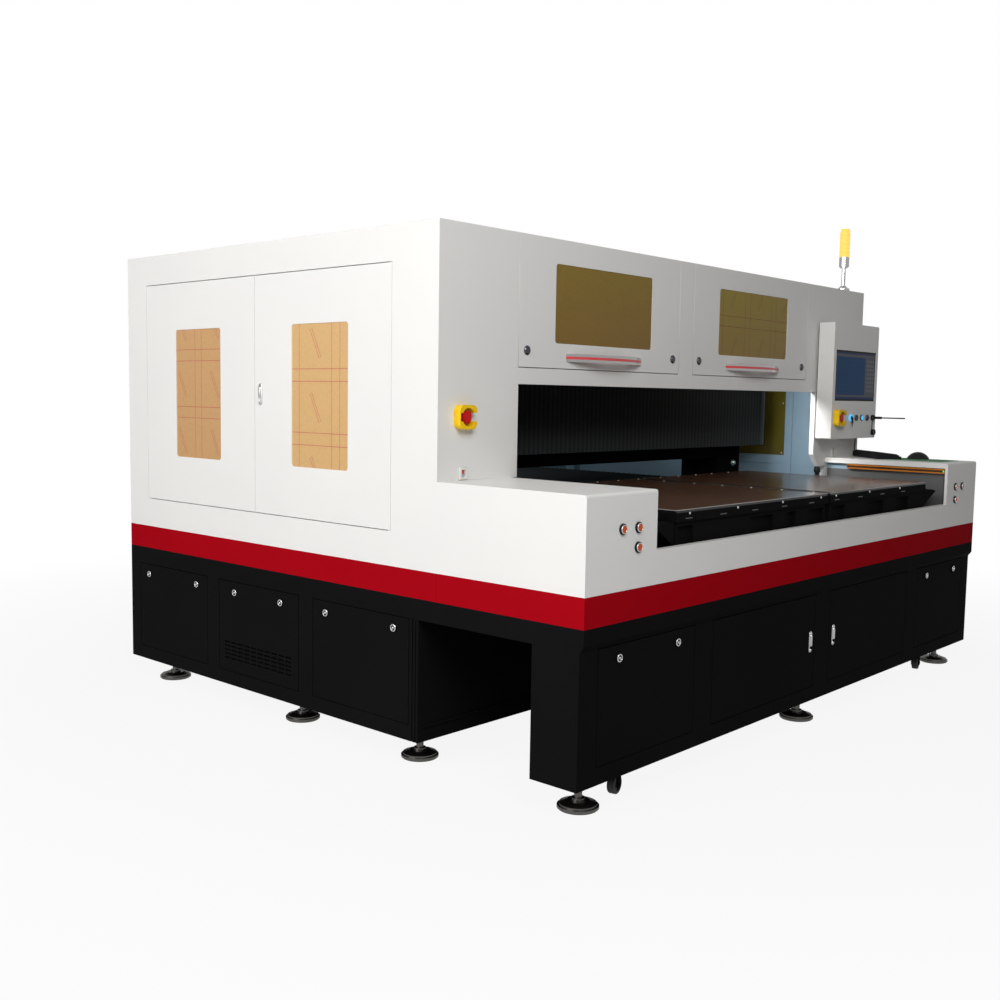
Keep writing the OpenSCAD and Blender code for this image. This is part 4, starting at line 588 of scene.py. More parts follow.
amber = glowing("Amber lens", (0.85, 0.30, 0.01), (1.0, 0.55, 0.05), 0.9)
tree = amber.node_tree
shader = tree.nodes["Principled BSDF"].inputs
height = axes_of(tree, tree.nodes["Texture Coordinate"].outputs["Object"])["Z"]
ribs = maths(tree, "MULTIPLY", maths(tree, "PINGPONG", height, RIB_M), 1 / RIB_M)
feed(tree, blended(tree, ribs, (0.95, 0.38, 0.02), (1.0, 0.86, 0.30)), shader["Emission Color"])
add_bump(tree, shader, ribs, 0.6, 0.001)
orange_lit = glowing("Orange lit face", (0.42, 0.06, 0.003), (1.0, 0.12, 0.003), 0.14)
blue_lit = glowing("Blue lit face", (0.03, 0.40, 0.80), (0.08, 0.55, 1.0), 0.95)
dark_blue = glowing("Dark blue face", (0.03, 0.03, 0.10), (0.02, 0.02, 0.08), 0.1)
green_lit = glowing("Green lit face", (0.05, 0.6, 0.15), (0.1, 0.9, 0.2), 0.6)
print("lit plastics done")

# %% [markdown]
# The screen shows a drawing program: a blue work area with a pale grid, a light title strip and a panel of
# grey
# keys at the right. It is a handful of masks on the pane's own two coordinates, with no lettering.

# %% Touch screen picture
screen_low, screen_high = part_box("touch_screen")
screen_glass, tree, shader, where = start_material("Lit touch screen", 0.2, shine=0.05)
fit_screen = tree.nodes.new("ShaderNodeMapping")
fit_screen.vector_type = "TEXTURE"
fit_screen.inputs["Location"].default_value = screen_low
fit_screen.inputs["Scale"].default_value = (screen_high.x - screen_low.x, 1.0, screen_high.z - screen_low.z)
feed(tree, where, fit_screen.inputs["Vector"])
axes = axes_of(tree, fit_screen.outputs["Vector"])
across, upward = axes["X"], axes["Z"]


def inside(value, low, high):
    """1 where the value is between low and high."""
    return both(maths(tree, "GREATER_THAN", value, low), maths(tree, "LESS_THAN", value, high))


def both(a, b):
    """1 where two masks are both 1."""
    return maths(tree, "MULTIPLY", a, b)


def pane_box(left, right, foot, top):
    """1 inside a rectangle given in shares of the screen's width and height."""
    return both(inside(across, left, right), inside(upward, foot, top))


work_area = pane_box(0.03, 0.735, 0.12, 0.875)
grid_line = maths(tree, "MAXIMUM", maths(tree, "LESS_THAN", maths(tree, "PINGPONG", across, 0.0225), 0.0016),
                  maths(tree, "LESS_THAN", maths(tree, "PINGPONG", upward, 0.04), 0.0028))
keys = both(inside(maths(tree, "WRAP", across, 0.071, 0.0), 0.008, 0.062),
            inside(maths(tree, "WRAP", upward, 0.085, 0.0), 0.014, 0.070))
keys = both(keys, pane_box(0.765, 0.975, 0.16, 0.86))
picture = blended(tree, work_area, (0.075, 0.08, 0.095), (0.006, 0.042, 0.115))
picture = blended(tree, both(work_area, grid_line), picture, (0.014, 0.058, 0.145))
picture = blended(tree, keys, picture, (0.125, 0.13, 0.145))
for foot, top, strip_colour in ((0.885, 0.935, (0.085, 0.09, 0.105)), (0.935, 0.96, (0.012, 0.03, 0.09)),
                                (0.035, 0.075, (0.010, 0.03, 0.10))):
    picture = blended(tree, pane_box(0.03, 0.97, foot, top), picture, strip_colour)
picture = blended(tree, pane_box(0.022, 0.978, 0.035, 0.965), (0.006, 0.006, 0.007), picture)
feed(tree, blended(tree, 0.7, picture, (0.004, 0.004, 0.005)), shader["Base Color"])
feed(tree, picture, shader["Emission Color"])
shader["Emission Strength"].default_value = 0.36
print("screen", tuple(screen_low), tuple(screen_high))

# %% [markdown]
# Now every CAD node gets its finish. A list of finishes with node names keeps this in one readable place.

# %% Dress the CAD nodes
BUTTONS = [f"{side}_button_{place}" for side in ("left", "right") for place in ("inner", "outer", "lower")]
FINISHES = [
    (white_coat, ["front_cover", "enclosure_skin", "front_header", "console_box", "left_front_door",
                  "right_front_door", "side_door_front", "side_door_rear"]),
    (red_coat, ["red_band"]),
    (black_coat, ["base_frame", "rear_cabinet", "service_covers", "base_door_left", "base_door_right",
                  "left_table", "right_table", "cross_beam", "cover_locks"]),
    (inner_coat, ["enclosure_liner"]),
    (grey_casting, ["table_bed", "head_carriage"]),
    (instrument_coat, ["laser_source"]),
    (brown_board, ["left_board", "right_board"]),
    (kraft_front, ["side_window_front"]),
    (kraft_rear, ["side_window_rear"]),
    (olive, ["left_front_window"]),
    (olive_inner, ["right_side_windows"]),
    (olive_printed, ["right_front_window"]),
    (polished, ["stack_light_pole", "key_switch"]),
    (handle_steel, ["left_front_handle", "right_front_handle"]),
    (turned_steel, ["laser_head"]),
    (foot_steel, ["levelling_feet"]),
    (yellow_plastic, ["estop_guards"]),
    (red_plastic, ["left_estop", "console_estop"]),
    (rocker_face, ["left_rocker", "right_rocker"]),
    (amber, ["stack_light_lens"]),
    (orange_lit, BUTTONS),
    (dark_blue, ["console_button_dark"]),
    (blue_lit, ["console_button_blue"]),
    (screen_glass, ["touch_screen"]),
    (curtain_coat, ["light_curtains"]),
    (black_plastic, ["keyboard_and_mouse", "keyboard_lead", "panel_aerial", "left_beam_bellows",
                     "right_beam_bellows", "left_table_bellows", "right_table_bellows"]),
    (wheel_rubber, ["caster_wheel_left", "caster_wheel_right"]),
]
for material, names in FINISHES:
    for name in names:
        nodes[name].data.materials.clear()
        nodes[name].data.materials.append(material)
bare = sorted(set(nodes) - {n for _, names in FINISHES for n in names})
print("nodes with no finish:", bare)

# %% [markdown]
# The beam's guides hide behind pleated cloth that folds like a concertina. It could be a curve with a
# modifier,
# but the fold is one zigzag with soft tips, so a formula gives it: depth = d * |triangle wave|, with the tips
# pulled round. On the machine the left cover stretches when the head moves away and the right one is pressed
# together; here both are built at one pose, with the left one pressed.

# %% Pleated covers
TIP_ROUNDING = 0.02
BEAM_FOLD, CLOTH, PRESSED_CLOTH = 22, 1.6, 0.7
BEAM_PITCH, PRESSED_PITCH, TABLE_PITCH = 28, 5, 32


def pleated(length, pitch, depth, wall, per_fold=6):
    """Distance s along a folded sheet, and its front and back, wall apart.

    The front is (depth - wall) (1 - sqrt(t^2 + e) / sqrt(1 + e)), with t = |2 frac(s / fold) - 1|.
    """
    folds = max(2, round(length / pitch))
    s = np.linspace(0, length, folds * per_fold + 1)
    t = np.abs(2 * np.mod(s / length * folds, 1) - 1)
    front = (depth - wall) * (1 - np.sqrt(t ** 2 + TIP_ROUNDING) / math.sqrt(1 + TIP_ROUNDING))
    return s, front, front + wall


def pleated_strip(name, at, length, pitch, depth, wall, span, direction, material):
    """A closed folded strip: its section's four corners carried along s, then a cap at each end."""
    s, front, back = pleated(length, pitch, depth, wall)
    low, high = span
    section = ((front, low), (front, high), (back, high), (back, low))
    if direction == "X":
        corners = [spot(at[0] + s, at[1] + d, z + 0 * s) for d, z in section]
    else:
        corners = [spot(x + 0 * s, at[1] + s, at[2] + depth - d) for d, x in section]
    points = np.stack(corners, 1)
    faces = grid_faces(len(s), 4, wrap_columns=True)
    ends = np.array([[0, 1, 2, 3], 4 * len(s) - np.array([1, 2, 3, 4])])
    return put_mesh(name, points.reshape(-1, 3), np.concatenate([faces, ends]), material)


def pleat_cloth_with_painted_shade(name, axis, tip, valley):
    """Dark cloth with painted shade in its valleys, so its tips read paler: the colour follows the place
    along axis from tip to valley.
    """
    material, tree, shader, where = start_material(name, 0.6, shine=0.12)
    weave = noise(tree, where, 1800.0)
    cloth = blended(tree, weave, (0.050, 0.056, 0.058), (0.066, 0.073, 0.076))
    # Painted shade: the colour darkens from the pleats' tips into their valleys, where shade falls.
    depth = ranged(tree, axes_of(tree, where)[axis], tip, valley)
    feed(tree, blended(tree, depth, cloth, (0.012, 0.014, 0.015)), shader["Base Color"])
    add_bump(tree, shader, weave, 0.3, 0.0004)
    return material


beam_low, beam_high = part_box("right_beam_bellows")
# The beam cloth carries painted shade in the valleys of its folds.
beam_cloth_with_painted_shade = pleat_cloth_with_painted_shade("Beam bellows cloth with painted shade", "Y", beam_low.y, beam_low.y + 0.020)
low, high = box_mm("right_beam_bellows")
z_span, beam_y = (low[2], high[2]), low[1]
right_cover = pleated_strip("right_beam_cover", low[:2], high[0] - low[0], BEAM_PITCH, BEAM_FOLD, CLOTH,
                            z_span, "X", beam_cloth_with_painted_shade)
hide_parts("right_beam_bellows")
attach(right_cover, "machine")
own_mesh(right_cover)
low, high = box_mm("left_beam_bellows")
left_cover = pleated_strip("left_beam_cover", (low[0], beam_y), high[0] - low[0], PRESSED_PITCH, BEAM_FOLD,
                           PRESSED_CLOTH, z_span, "X", beam_cloth_with_painted_shade)
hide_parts("left_beam_bellows")
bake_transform(left_cover)
print("beam covers", len(right_cover.data.polygons), len(left_cover.data.polygons))

# %% [markdown]
# Behind each table the same cloth closes the gap to the rear wall. It lies flat with its folds upward. On the
# machine it is pressed together when the table runs in; here it is built at one length.

# %% Table covers
for side in ("left", "right"):
    table_low, table_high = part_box(f"{side}_table_bellows")
    # The table cloth carries painted shade in the valleys of its folds.
    cloth = pleat_cloth_with_painted_shade(f"Table bellows cloth with painted shade, {side}", "Z", table_high.z, table_low.z + 0.002)
    low, high = box_mm(f"{side}_table_bellows")
    cover = pleated_strip(f"{side}_table_cover", (0, low[1], low[2]), high[1] - low[1], TABLE_PITCH,
                          high[2] - low[2], CLOTH, (low[0], high[0]), "Y", cloth)
    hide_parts(f"{side}_table_bellows")
    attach(cover, "machine")
    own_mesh(cover)
    print(side, "table cover", len(cover.data.polygons))

# %% [markdown]
# Small bright fasteners break up the dark tables: a row of dome-head bolts at the back edge, another
# beside the
# split, and more in the front rim between narrow slots. Each bolt is a profile turned round its axis. A black
# edging strip closes each side of the split.

# %% Bolts, slots and edging
DOME = ((4.2, -0.2), (4.2, 0.5), (3.4, 1.5), (1.9, 2.1), (0, 2.2))
BACK_EDGE_Y, BOARD_TOP_Z, SPLIT_X, BACK_PITCH = 862, 853, 1452, 139
RIM_Y, RIM_BOLT_Z, RIM_SLOT_Z, SLOT_X, SLOT_PITCH = 22, 840, 825, 538, 199
EDGING_Y, EDGING_Z, EDGING_L = 453, 852.9, 850


def bolts(face, centres):
    """A dome-head bolt at each centre."""
    return [turned(face, centre, DOME, around=12) for centre in centres]


back_left = [(SPLIT_X - BACK_PITCH * k, BACK_EDGE_Y, BOARD_TOP_Z) for k in range(8)]
back_right = [(x, BACK_EDGE_Y, BOARD_TOP_Z) for x in (1497, 1614, 1750, 1888, 2019, 2163)]
split = [(SPLIT_X, y, BOARD_TOP_Z) for y in (735, 590, 462, 335, 205, 76)]
rim_left = [(x, RIM_Y, RIM_BOLT_Z) for x in (541, 825, 1122, 1405)]
rim_right = [(x, RIM_Y, RIM_BOLT_Z) for x in (1526, 1812, 2096)]
slot_places = [(SLOT_X + SLOT_PITCH * k, RIM_Y, RIM_SLOT_Z) for k in range(9)]
slots = [plate("front", place, 38, 3.4, 1.6, 0.5, 0.2) for place in slot_places]
placed("left_table_bolts", "left_table", zinc,
       bolts("up", back_left + split) + bolts("front", rim_left))
placed("right_table_bolts", "right_table", zinc,
       bolts("up", back_right) + bolts("front", rim_right))
placed("left_table_slots", "left_table", slot_steel, slots[:5])
placed("right_table_slots", "right_table", slot_steel, slots[5:])
edging = coated("Black edging", (0.006, 0.006, 0.006), (0.009, 0.009, 0.009), 0.6, grain=1600, shine=0.1)
for side, x, w, thick, bevel in (("left", 1458, 7, 0.7, 0.2), ("right", 1492, 16, 0.9, 0.3)):
    placed(f"split_edging_{side}", f"{side}_table", edging,
           [plate("up", (x, EDGING_Y, EDGING_Z), w, EDGING_L, 1, thick, bevel)])
print("bolts", len(back_left + back_right + split + rim_left + rim_right), "slots", len(slots))

# %% [markdown]
# Locks, latches and button rims are polished or plated. They are modelled over the plain CAD discs: a dome
# for
# a lift door's lock, an oval plate with a paddle for a flush latch, a ring with a core for the quarter-turn
# lock of a service cover, and a ring with a collar round each button.

# %% Locks, latches and rims
LOCK = ((15.5, -1.5), (15.5, 0.6), (14.6, 1.4), (13.2, 1.8), (12.6, 3.2), (10.5, 4.6), (6, 5.4), (0, 5.6))
LOCK_XS, DOOR_PITCH, LOCK_Y, LOCK_Z = (404, 1248), 1028, 573, 1337
LATCH_W, LATCH_H = 20.6, 79
for k, body in enumerate(("left_front_door", "right_front_door")):
    placed(f"{body}_locks", body, dark_chrome,
           [turned("front", (x + DOOR_PITCH * k, LOCK_Y, LOCK_Z), LOCK) for x in LOCK_XS])


def flush_latch(face, centre):
    """A domed oval plate, a raised paddle and a round key face."""
    x, y, z = centre
    return [plate(face, centre, LATCH_W, LATCH_H, 9.5, 3.4, 0.9, 0.2),
            plate(face, (x, y, z + 4), 11, LATCH_H - 34, 4.5, 7.4, 1.2, 0.4),
            turned(face, (x, y, z - LATCH_H / 2 + 11), ((5, 0), (5, 4.2), (4, 4.8), (0, 4.8)), 16)]


placed("side_door_latch", "side_door_front", polished,
       flush_latch("left", (0.4, 1467, 1180)))
for side, x in (("left", 1350), ("right", 1530)):
    placed(f"base_latch_{side}", f"base_door_{side}", polished,
           flush_latch("front", (x, 14.4, 318.5)))
COVER_LOCK_Z = 449
COVER_LOCKS = [("front", (x, 11, COVER_LOCK_Z)) for x in (183, 483, 2397, 2697)]
COVER_LOCKS += [(face, (x, y, COVER_LOCK_Z)) for face, x in (("left", -3), ("right", MACHINE_W + 3))
                for y in (763, 1102, 1353, 1630, 1881, 2220)]
LOCK_RING = ((8.4, -0.3), (8.4, 1.6), (9.2, 2.3), (11.4, 2.1), (12.4, 1.2), (12.6, -0.3))
LOCK_CORE = ((4.4, 0), (4.4, 2.4), (3.8, 3.0), (0, 3.1))
placed("cover_lock_rings", "machine", polished,
       [turned(face, place, LOCK_RING, 20, hollow=True) for face, place in COVER_LOCKS])
placed("cover_lock_cores", "machine", polished,
       [turned(face, place, LOCK_CORE, 12) for face, place in COVER_LOCKS])
RIM = ((10.7, -0.8), (10.7, 3.0), (11.4, 3.8), (12.6, 3.8), (13.4, 3.0), (13.6, -0.8))
COLLAR = ((12.5, -4.6), (12.5, 0.0), (15.6, 0.3), (16.2, -0.4), (16.2, -4.6))
BUTTON_Y = -5
BUTTON_PLACES = [(165, 821), (241, 821), (241, 764)]
BUTTON_PLACES += [(MACHINE_W - x, z) for x, z in BUTTON_PLACES]
placed("button_rims", "machine", polished,
       [turned("front", (x, BUTTON_Y, z), RIM, hollow=True) for x, z in BUTTON_PLACES])
placed("button_collars", "machine", black_plastic,
       [turned("front", (x, BUTTON_Y, z), COLLAR, hollow=True) for x, z in BUTTON_PLACES])
print("cover locks", len(COVER_LOCKS), "rims", len(BUTTON_PLACES))

# %% [markdown]
# Sheet-metal doors show a bright line at each side, where the neighbouring sheet's folded edge catches the
# light. A thin round bead stands in each gap for that fold. The side doors close on a thin frame, and a lip
# on the rear leaf covers the gap between the two. A small gusset fills the corner where the left column
# meets the ledge.

# %% Folded edges
DOOR_FOOT, DOOR_TOP, DOOR_Y = 1283, 1706, 576.0
placed("door_fold_edges", "machine", white_coat,
       [bead(x, DOOR_Y, DOOR_FOOT, DOOR_TOP, 1.2) for x in (362.5, 1289.5, 1390.5, 2317.5)])
SIDE_DOORS = (2.4, 1501.5, 1177)
placed("side_door_frame", "machine", white_coat,
       [frame_ring("left", SIDE_DOORS, (1440.6, 865.6), (1436, 861), 1, 1.2, 0.2)], smooth=False)
placed("side_door_lip", "side_door_rear", white_coat,
       [plate("left", SIDE_DOORS, 2.2, 858, 0.5, 1.2, 0.2)], smooth=False)
COLUMN_X, GUSSET_FOOT, GUSSET, GUSSET_Y, GUSSET_DEEP = 364.5, 925.0, 28.5, 575.0, 22
gusset_x, gusset_z = COLUMN_X + np.array([-GUSSET, 0, 0]), GUSSET_FOOT + np.array([0, 0, GUSSET])
placed("column_gusset", "machine", white_coat,
       [capped(np.stack([spot(gusset_x, y, gusset_z) for y in (GUSSET_Y, GUSSET_Y + GUSSET_DEEP)]))],
       smooth=False)
print("side doors' frame at", SIDE_DOORS)

# %% [markdown]
# Inside, the right wall has blue-grey frames round its panes, with a screw at each corner and halfway up, and
# the walls are made of sheets that meet in folded seams.

# %% Inner frames and seams
pane_low, pane_high = box_mm("right_side_windows")
pane_z = (pane_low[2] + pane_high[2]) / 2
PANE_PLACES, PANE_SIZE, WALL_X, REAR_WALL_Y = (1140.5, 1862.5), (371, 534), 2857.5, 2334.8
placed("inner_window_frames", "machine", inner_coat,
       [frame_ring("left", (WALL_X, y, pane_z), (442, 600), (345, 500), 4, 4) for y in PANE_PLACES],
       smooth=False)
placed("inner_panes", "machine", olive_inner,
       [plate("left", (WALL_X - 4, y, pane_z), *PANE_SIZE, 3, 3, 0.5) for y in PANE_PLACES], smooth=False)
placed("inner_pane_screws", "machine", zinc,
       [turned("left", (WALL_X - 7, y + dy, pane_z + dz), DOME, 10)
        for y in PANE_PLACES for dy in (-174, 174) for dz in (-256, -4, 256)])
folds = [plate("left", (WALL_X, y, z), w, h, 3, 10)
         for y, z, w, h in ((928, 1150, 31, 900), (1617, 883, 1346, 34))]
folds += [plate("left", (WALL_X, y, 760), 14, 180, 2, 3) for y in (1647, 2021)]
folds += [plate("front", (x, REAR_WALL_Y, 1130), 26, 1080, 3, 4, 1.5) for x in (760, 1440, 2120)]
placed("inner_wall_folds", "machine", inner_coat, folds, smooth=False)
print("panes at z", pane_z, "folds", len(folds))

# %% [markdown]
# Behind each ledge a steel cheek closes the gap towards the tables. It lies in shadow, and a thin sheet on it
# paints that shade as a plain mid grey.
# The console's cable leaves the right ledge through a round gland.

# %% Cheeks and cable gland
CHEEK_X, CHEEK_Y, CHEEK_Z, CHEEK_L, CHEEK_H = 310.6, 298.5, 716, 549, 320
# Painted shade: the sheets' mid grey stands for the shadow on the cheeks.
cheek_painted_shade = coated("Cheek paint with painted shade", (0.12, 0.12, 0.118), (0.10, 0.10, 0.098), 0.5, grain=1100)
placed("ledge_cheek_shade_sheets", "machine", cheek_painted_shade,
       [plate(face, (x, CHEEK_Y, CHEEK_Z), CHEEK_L, CHEEK_H, 2, 1.0, 0.3)
        for face, x in (("left", MACHINE_W - CHEEK_X), ("right", CHEEK_X))], smooth=False)
GLAND = ((0, 0), (9, 0), (10, 2), (10, 12), (14, 13), (15, 15), (15, 30), (14, 32), (12.5, 33), (12.5, 40.5))
placed("cable_gland", "machine", black_plastic,
       [turned("up", (2492, 586, 844.5), GLAND, 24)])
print("cheeks at x", CHEEK_X, MACHINE_W - CHEEK_X)

# %% [markdown]
# On the console the first control is a lit ring with a key in it, the lamp beside the buttons has a dark
# lens,
# and the aerial's socket is black and knurled, with its screw cap hanging from a strap. The key's bow is a
# rounded outline whose width changes on its way down.

# %% Console controls
CONSOLE_Y, CONTROL_X, CONTROL_Z, CONTROL_PITCH = 486, 2603, 1112, 58
SMALL_RIM = ((11.2, -0.3), (11.2, 1.2), (11.8, 2.0), (13.2, 2.0), (14.4, 0.9), (14.4, -4.0))
RING_LIGHT = ((11.2, -0.3), (11.2, 2.6), (12, 3.4), (14, 3.2), (15, 1.8), (15, -4.0))
LAMP_LENS = ((10.8, 0), (10.6, 1.6), (8, 3), (4, 3.7), (0, 4))
BARREL = ((0, -20), (10.6, -20), (10.6, -0.6), (9.8, 0.2), (5.2, 0.4), (4.8, -0.8), (0, -0.8))
SHANK = ((0, -1), (3, -1), (3, 6.5), (2.4, 7), (0, 7))
KEY_BOW = ((-4, 3.0), (-1, 4.6), (6, 6.6), (14, 7.6), (22, 6.6), (28, 4.2), (33, 2.4), (42, 1.7), (43, 0.4))
SOCKET = ((14, -0.2), (14, 3), (13.4, 4), (13.4, 9), (12.6, 10.6), (6.3, 10.8), (6.3, 12), (0, 12))
CAP = ((13.6, 0), (13.6, 12.4), (12.6, 14.6), (10.5, 15), (9.8, 14.2), (0, 14.2))


def control(k, profile, proud=0, across=0, down=0, around=32):
    """A turned part at the k-th control place, moved out of, along and down the console's front."""
    x = CONTROL_X + CONTROL_PITCH * k + across
    return turned("front", (x, CONSOLE_Y - proud, CONTROL_Z - down), profile, around)


placed("console_rims", "machine", dark_chrome,
       [control(k, SMALL_RIM, 4) for k in (1, 2, 3)])
placed("key_ring_light", "machine", blue_lit, [control(0, RING_LIGHT, 4)])
placed("lamp_lens", "machine", dark_blue, [control(3, LAMP_LENS, 6)])
barrel = placed("key_barrel", "key_switch", dark_chrome, [control(0, BARREL, 7)])
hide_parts("key_switch")
drop, half = np.array(KEY_BOW).T[:, :, None]
turn_u, turn_v = round_rect(2, 2, 0.9)
bow = set_on("front", (CONTROL_X, CONSOLE_Y - 11, CONTROL_Z), half * turn_u, 0 * turn_u - drop,
             0.4 * half * turn_v)
placed("key_bow", "key_switch", black_plastic,
       [capped(bow), control(0, SHANK, 7, around=12)])
strap_place = (CONTROL_X + 4 * CONTROL_PITCH + 3, CONSOLE_Y, CONTROL_Z - 34)
placed("aerial_socket", "machine", black_plastic,
       [control(4, SOCKET), control(4, CAP, across=5, down=69),
        plate("front", strap_place, 4.6, 56, 1.8, 2.6, 0.6)])
print("console controls at z", CONTROL_Z)

# %% [markdown]
# The keyboard in the CAD model is a wedge with one block where its keys are. The keys themselves are tapered
# boxes on a grid, tilted and turned with the wedge. The wedge's own right, back and up directions place them.

# %% Keys
KEYBOARD_TURN, KEY_PITCH, KEY_FOOT, KEY_TOP, KEY_HIGH = math.radians(49), 16.4, 7.3, 5.8, 3.6
WEDGE_FRONT, WEDGE_BACK, WEDGE_RUN = 19, 30.5, 104
key_right = np.array([math.cos(KEYBOARD_TURN), math.sin(KEYBOARD_TURN), 0])
key_back = np.array([-math.sin(KEYBOARD_TURN), math.cos(KEYBOARD_TURN), 0])
key_centre = spot(2753, 418, 925)


def keycaps(columns, rows, wide=1.0):
    """Tapered boxes: a square foot, a smaller top, and each row lifted by the wedge's slope."""
    i, j = np.meshgrid(columns, rows, indexing="ij")
    u, v = (i.ravel() * KEY_PITCH)[:, None], (j.ravel() * KEY_PITCH)[:, None]
    corner_u, corner_v = np.array([-1, 1, 1, -1] * 2), np.array([-1, -1, 1, 1] * 2)
    size = np.repeat([KEY_FOOT, KEY_TOP], 4)
    du = u + corner_u * (size + (wide - 1) * KEY_PITCH / 2)
    dv = v + corner_v * size
    slope = (WEDGE_BACK - WEDGE_FRONT) / WEDGE_RUN
    z = WEDGE_FRONT + slope * (dv + WEDGE_RUN / 2) + np.repeat([0, KEY_HIGH], 4)
    points = (key_centre + (du[..., None] * key_right + dv[..., None] * key_back) / 1000
              + z[..., None] * np.array([0, 0, 0.001]))
    faces = np.array([[4, 5, 6, 7], [0, 1, 5, 4], [1, 2, 6, 5], [2, 3, 7, 6], [3, 0, 4, 7], [3, 2, 1, 0]])
    return points.reshape(-1, 3), (faces + 8 * np.arange(len(u))[:, None, None]).reshape(-1, 4)


caps = [keycaps(np.arange(-7, 8), np.arange(-1.5, 3)), keycaps([-6.5, -5.2, 5.2, 6.5], [-2.5], 1.15),
        keycaps([0], [-2.5], 8.4)]
key_plastic = coated("Key caps", (0.022, 0.022, 0.024), (0.034, 0.034, 0.036), 0.5, grain=2600, shine=0.4)
placed("keycaps", "machine", key_plastic, caps, smooth=False)
print("keys", sum(len(points) // 8 for points, _ in caps))

# %% [markdown]
# The keyboard's lead hangs out of the console and turns into the keyboard's back edge. It is a circle carried
# along a smooth curve, and it stands where the CAD's lead stands.

# %% Lead
LEAD_D = 0.005
lead_top = np.array([2755.0, 529.0, 1016.0])
LEAD_PLACES = lead_top + np.array([[0, 0, 0], [0, 0, -16], [-1, 1, -34], [-1, 1, -52], [0, 0, -68],
                                   [1.8, -1.6, -75], [4.4, -3.8, -79], [8, -6.9, -80.5]])


def smooth_route(places, per_span):
    """Points on a curve through the places: each span is a cubic set by its two neighbours."""
    held = np.concatenate([places[:1], places, places[-1:]])
    t = (np.arange(per_span) / per_span)[None, :, None]
    a, b, c, d = (held[k:k + len(places) - 1, None, :] for k in range(4))
    bend, twist = 2 * a - 5 * b + 4 * c - d, 3 * b - a - 3 * c + d
    route = 0.5 * (2 * b + (c - a) * t + bend * t ** 2 + twist * t ** 3)
    return np.concatenate([route.reshape(-1, 3), places[-1:]])


def tube_along(route, radius, around=12):
    """A circle carried along a route: r (e cos a + f sin a), with e and f square to the path."""
    ahead = np.gradient(route, axis=0)
    ahead /= np.linalg.norm(ahead, axis=1, keepdims=True)
    e = np.cross(ahead, [0.3, 1, 0.2])
    e /= np.linalg.norm(e, axis=1, keepdims=True)
    f = np.cross(ahead, e)
    a = np.linspace(0, 2 * math.pi, around, endpoint=False)[None, :, None]
    return capped(route[:, None] + radius * (np.cos(a) * e[:, None] + np.sin(a) * f[:, None]))


lead_route = smooth_route(spot(*LEAD_PLACES.T), 4)
lead = put_mesh("lead", *tube_along(lead_route, LEAD_D / 2), material=black_plastic, smooth=True)
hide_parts("keyboard_lead")
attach(lead, "machine")

# %% [markdown]
# A green mat lies under the mouse on the right ledge. It is a flat sheet a millimetre thick with round
# corners.

# %% Desk mat
MAT_PLACE = (2751.5, 202, 925.05)
mat = put_mesh("desk_mat", *plate("up", MAT_PLACE, 217, 266, 8, 1.0, 0.4), material=mat_green)
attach(mat, "machine")
print("mat at", MAT_PLACE)

# %% [markdown]
# The light curtains end in a small green lamp, the rockers sit in deep ivory frames, and a plated flange
# closes
# a hole in the beam's right leg.

# %% Small lamps, frames and the flange
CURTAIN_X, ROCKER_XS, FLANGE_X, FLANGE_Z = 334.2, (111, 2619), 2650, 870
FLANGE = ((17, -1), (17, 6.6), (16, 7.4), (10, 7.4), (9.6, 16.2), (8, 17), (0, 17))
FLANGE_BOLT = ((2.6, 0), (2.6, 1.6), (1.6, 2.4), (0, 2.4))
placed("curtain_lamps", "machine", green_lit,
       [plate(face, (x, 20, 890), 7, 7, 2, 0.5, 0.2)
        for face, x in (("right", CURTAIN_X), ("left", MACHINE_W - CURTAIN_X))])
placed("rocker_frames", "machine", white_plastic,
       [frame_ring("front", (x, 575.4, 946), (36, 37), (17, 23), 2, 7, 1.2) for x in ROCKER_XS])
placed("leg_flange", "machine", polished,
       [turned("front", (FLANGE_X, 1134.2, FLANGE_Z), FLANGE)]
       + [turned("front", (FLANGE_X + dx, 1127, FLANGE_Z), FLANGE_BOLT, 12) for dx in (-12.6, 12.6)])
print("small pieces done")

# %% [markdown]
# The room is a pale floor, a white world, a big soft lamp at the left and a weaker one in front. Three small
# hidden lamps stand for light that bounces inside: one along the right ledge, one on the right wall and
# one on
# the rear wall. The floor and the world show as white to the camera by Light Path, and the floor still
# keeps a
# part of its shadow.

# %% Floor and world
WORLD_FILL, FLOOR_GREY, FLOOR_HALF = 0.10, 0.50, 14
WHITE_FROM, WHITE_TO, NEAR_WHITE = 2.0, 4.5, 0.90


def seen_as_white(tree):
    """1 for camera rays and rays through glass, and half for reflections."""
    rays = tree.nodes.new("ShaderNodeLightPath").outputs
    seen = maths(tree, "MAXIMUM", rays["Is Camera Ray"], rays["Is Transmission Ray"])
    return maths(tree, "MAXIMUM", seen, maths(tree, "MULTIPLY", rays["Is Glossy Ray"], 0.5))


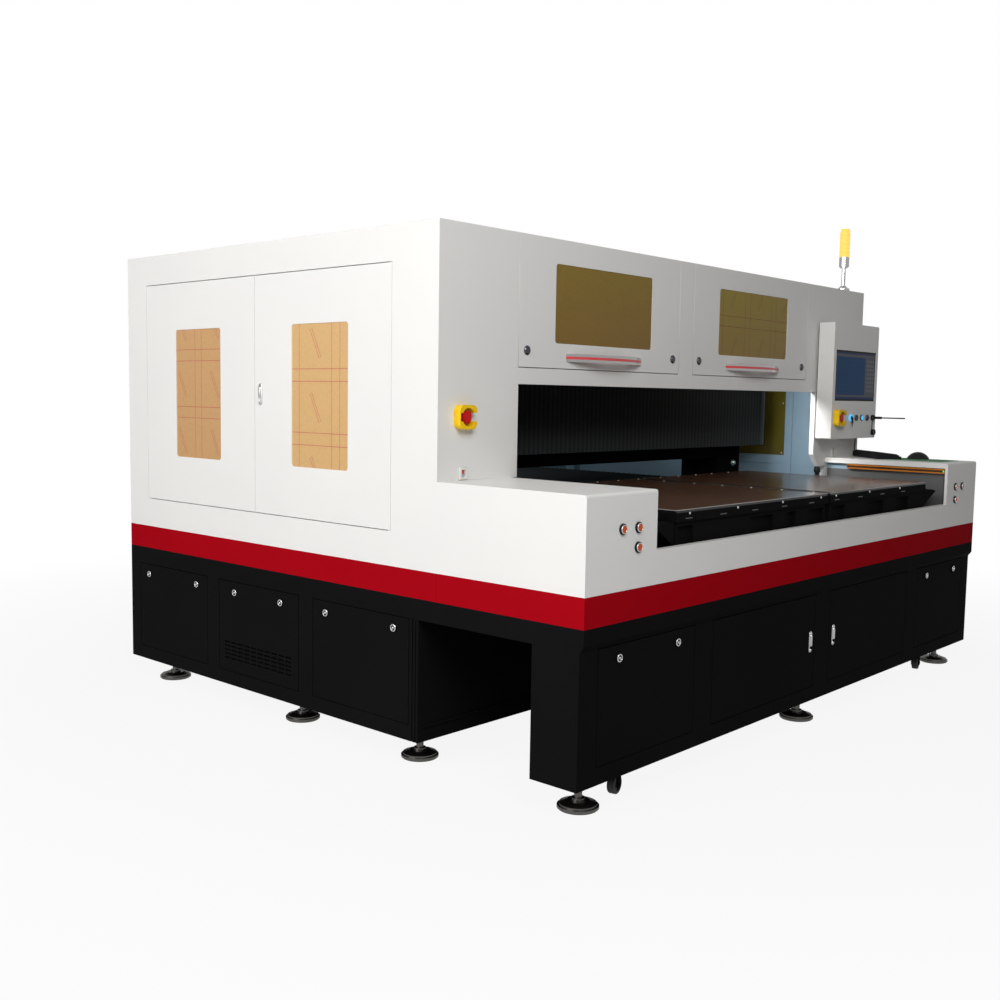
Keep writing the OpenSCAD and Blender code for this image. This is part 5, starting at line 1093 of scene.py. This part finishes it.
floor_corners = FLOOR_HALF * np.array([(-1, -1, 0), (1, -1, 0), (1, 1, 0), (-1, 1, 0)])
floor = put_mesh("Floor", floor_corners, [[0, 1, 2, 3]])
floor_paint, tree, shader, where = start_material("Floor paint", 0.9)
shader["Base Color"].default_value = (FLOOR_GREY, FLOOR_GREY, FLOOR_GREY, 1)
distance = tree.nodes.new("ShaderNodeVectorMath")
distance.operation = "LENGTH"
feed(tree, where, distance.inputs[0])
fade = ranged(tree, distance.outputs["Value"], WHITE_FROM, WHITE_TO, (NEAR_WHITE, 1.0))
mixer = tree.nodes.new("ShaderNodeMixShader")
feed(tree, maths(tree, "MULTIPLY", seen_as_white(tree), fade), mixer.inputs[0])
feed(tree, tree.nodes["Principled BSDF"].outputs[0], mixer.inputs[1])
feed(tree, tree.nodes.new("ShaderNodeEmission").outputs[0], mixer.inputs[2])
feed(tree, mixer.outputs[0], tree.nodes["Material Output"].inputs["Surface"])
floor.data.materials.append(floor_paint)

world = bpy.data.worlds.new("White room")
bpy.context.scene.world = world
world.use_nodes = True
tree = world.node_tree
backdrop = tree.nodes["Background"].inputs
backdrop["Color"].default_value = (1, 1, 1, 1)
feed(tree, maths(tree, "MAXIMUM", seen_as_white(tree), WORLD_FILL), backdrop["Strength"])
print("floor half width", FLOOR_HALF, "m")

# %% [markdown]
# Each lamp is a soft rectangle that looks at a place and is hidden from the camera. Its row holds where it
# stands and looks, its width and height in metres, its power in watts and the spread of its light in degrees.
# The powers were set so that white paint renders
# about as it is written and nothing pale clips.

# %% Lamps
LAMPS = [("Left lamp", (-7.0, 0.2, 3.2), (-0.5, 0.0, 1.0), (4.0, 4.0), 300, 180),
         ("Front lamp", (-3.2, -3.6, 3.4), (-0.4, -0.4, 1.1), (2.2, 2.2), 120, 180),
         ("Strip lamp", (0.15, -0.45, 1.45), (1.17, -0.62, 1.08), (0.25, 0.25), 1.4, 50),
         ("Wall lamp", (1.26, 0.05, 1.15), (1.42, 0.05, 1.15), (0.8, 0.6), 0.42, 180),
         ("Rear lamp", (-0.1, 0.72, 1.60), (0.1, 1.15, 0.6), (0.4, 0.4), 4, 180)]
for name, place, target, size, power, spread in LAMPS:
    data = bpy.data.lights.new(name, "AREA")
    data.shape = "RECTANGLE"
    data.size, data.size_y = size
    data.energy = power
    data.spread = math.radians(spread)
    lamp = bpy.data.objects.new(name, data)
    bpy.context.scene.collection.objects.link(lamp)
    lamp.location = place
    lamp.rotation_euler = (Vector(target) - Vector(place)).to_track_quat("-Z", "Y").to_euler()
    lamp.visible_camera = False
bpy.context.scene.view_settings.view_transform = "Standard"
print("lamps", len(LAMPS))
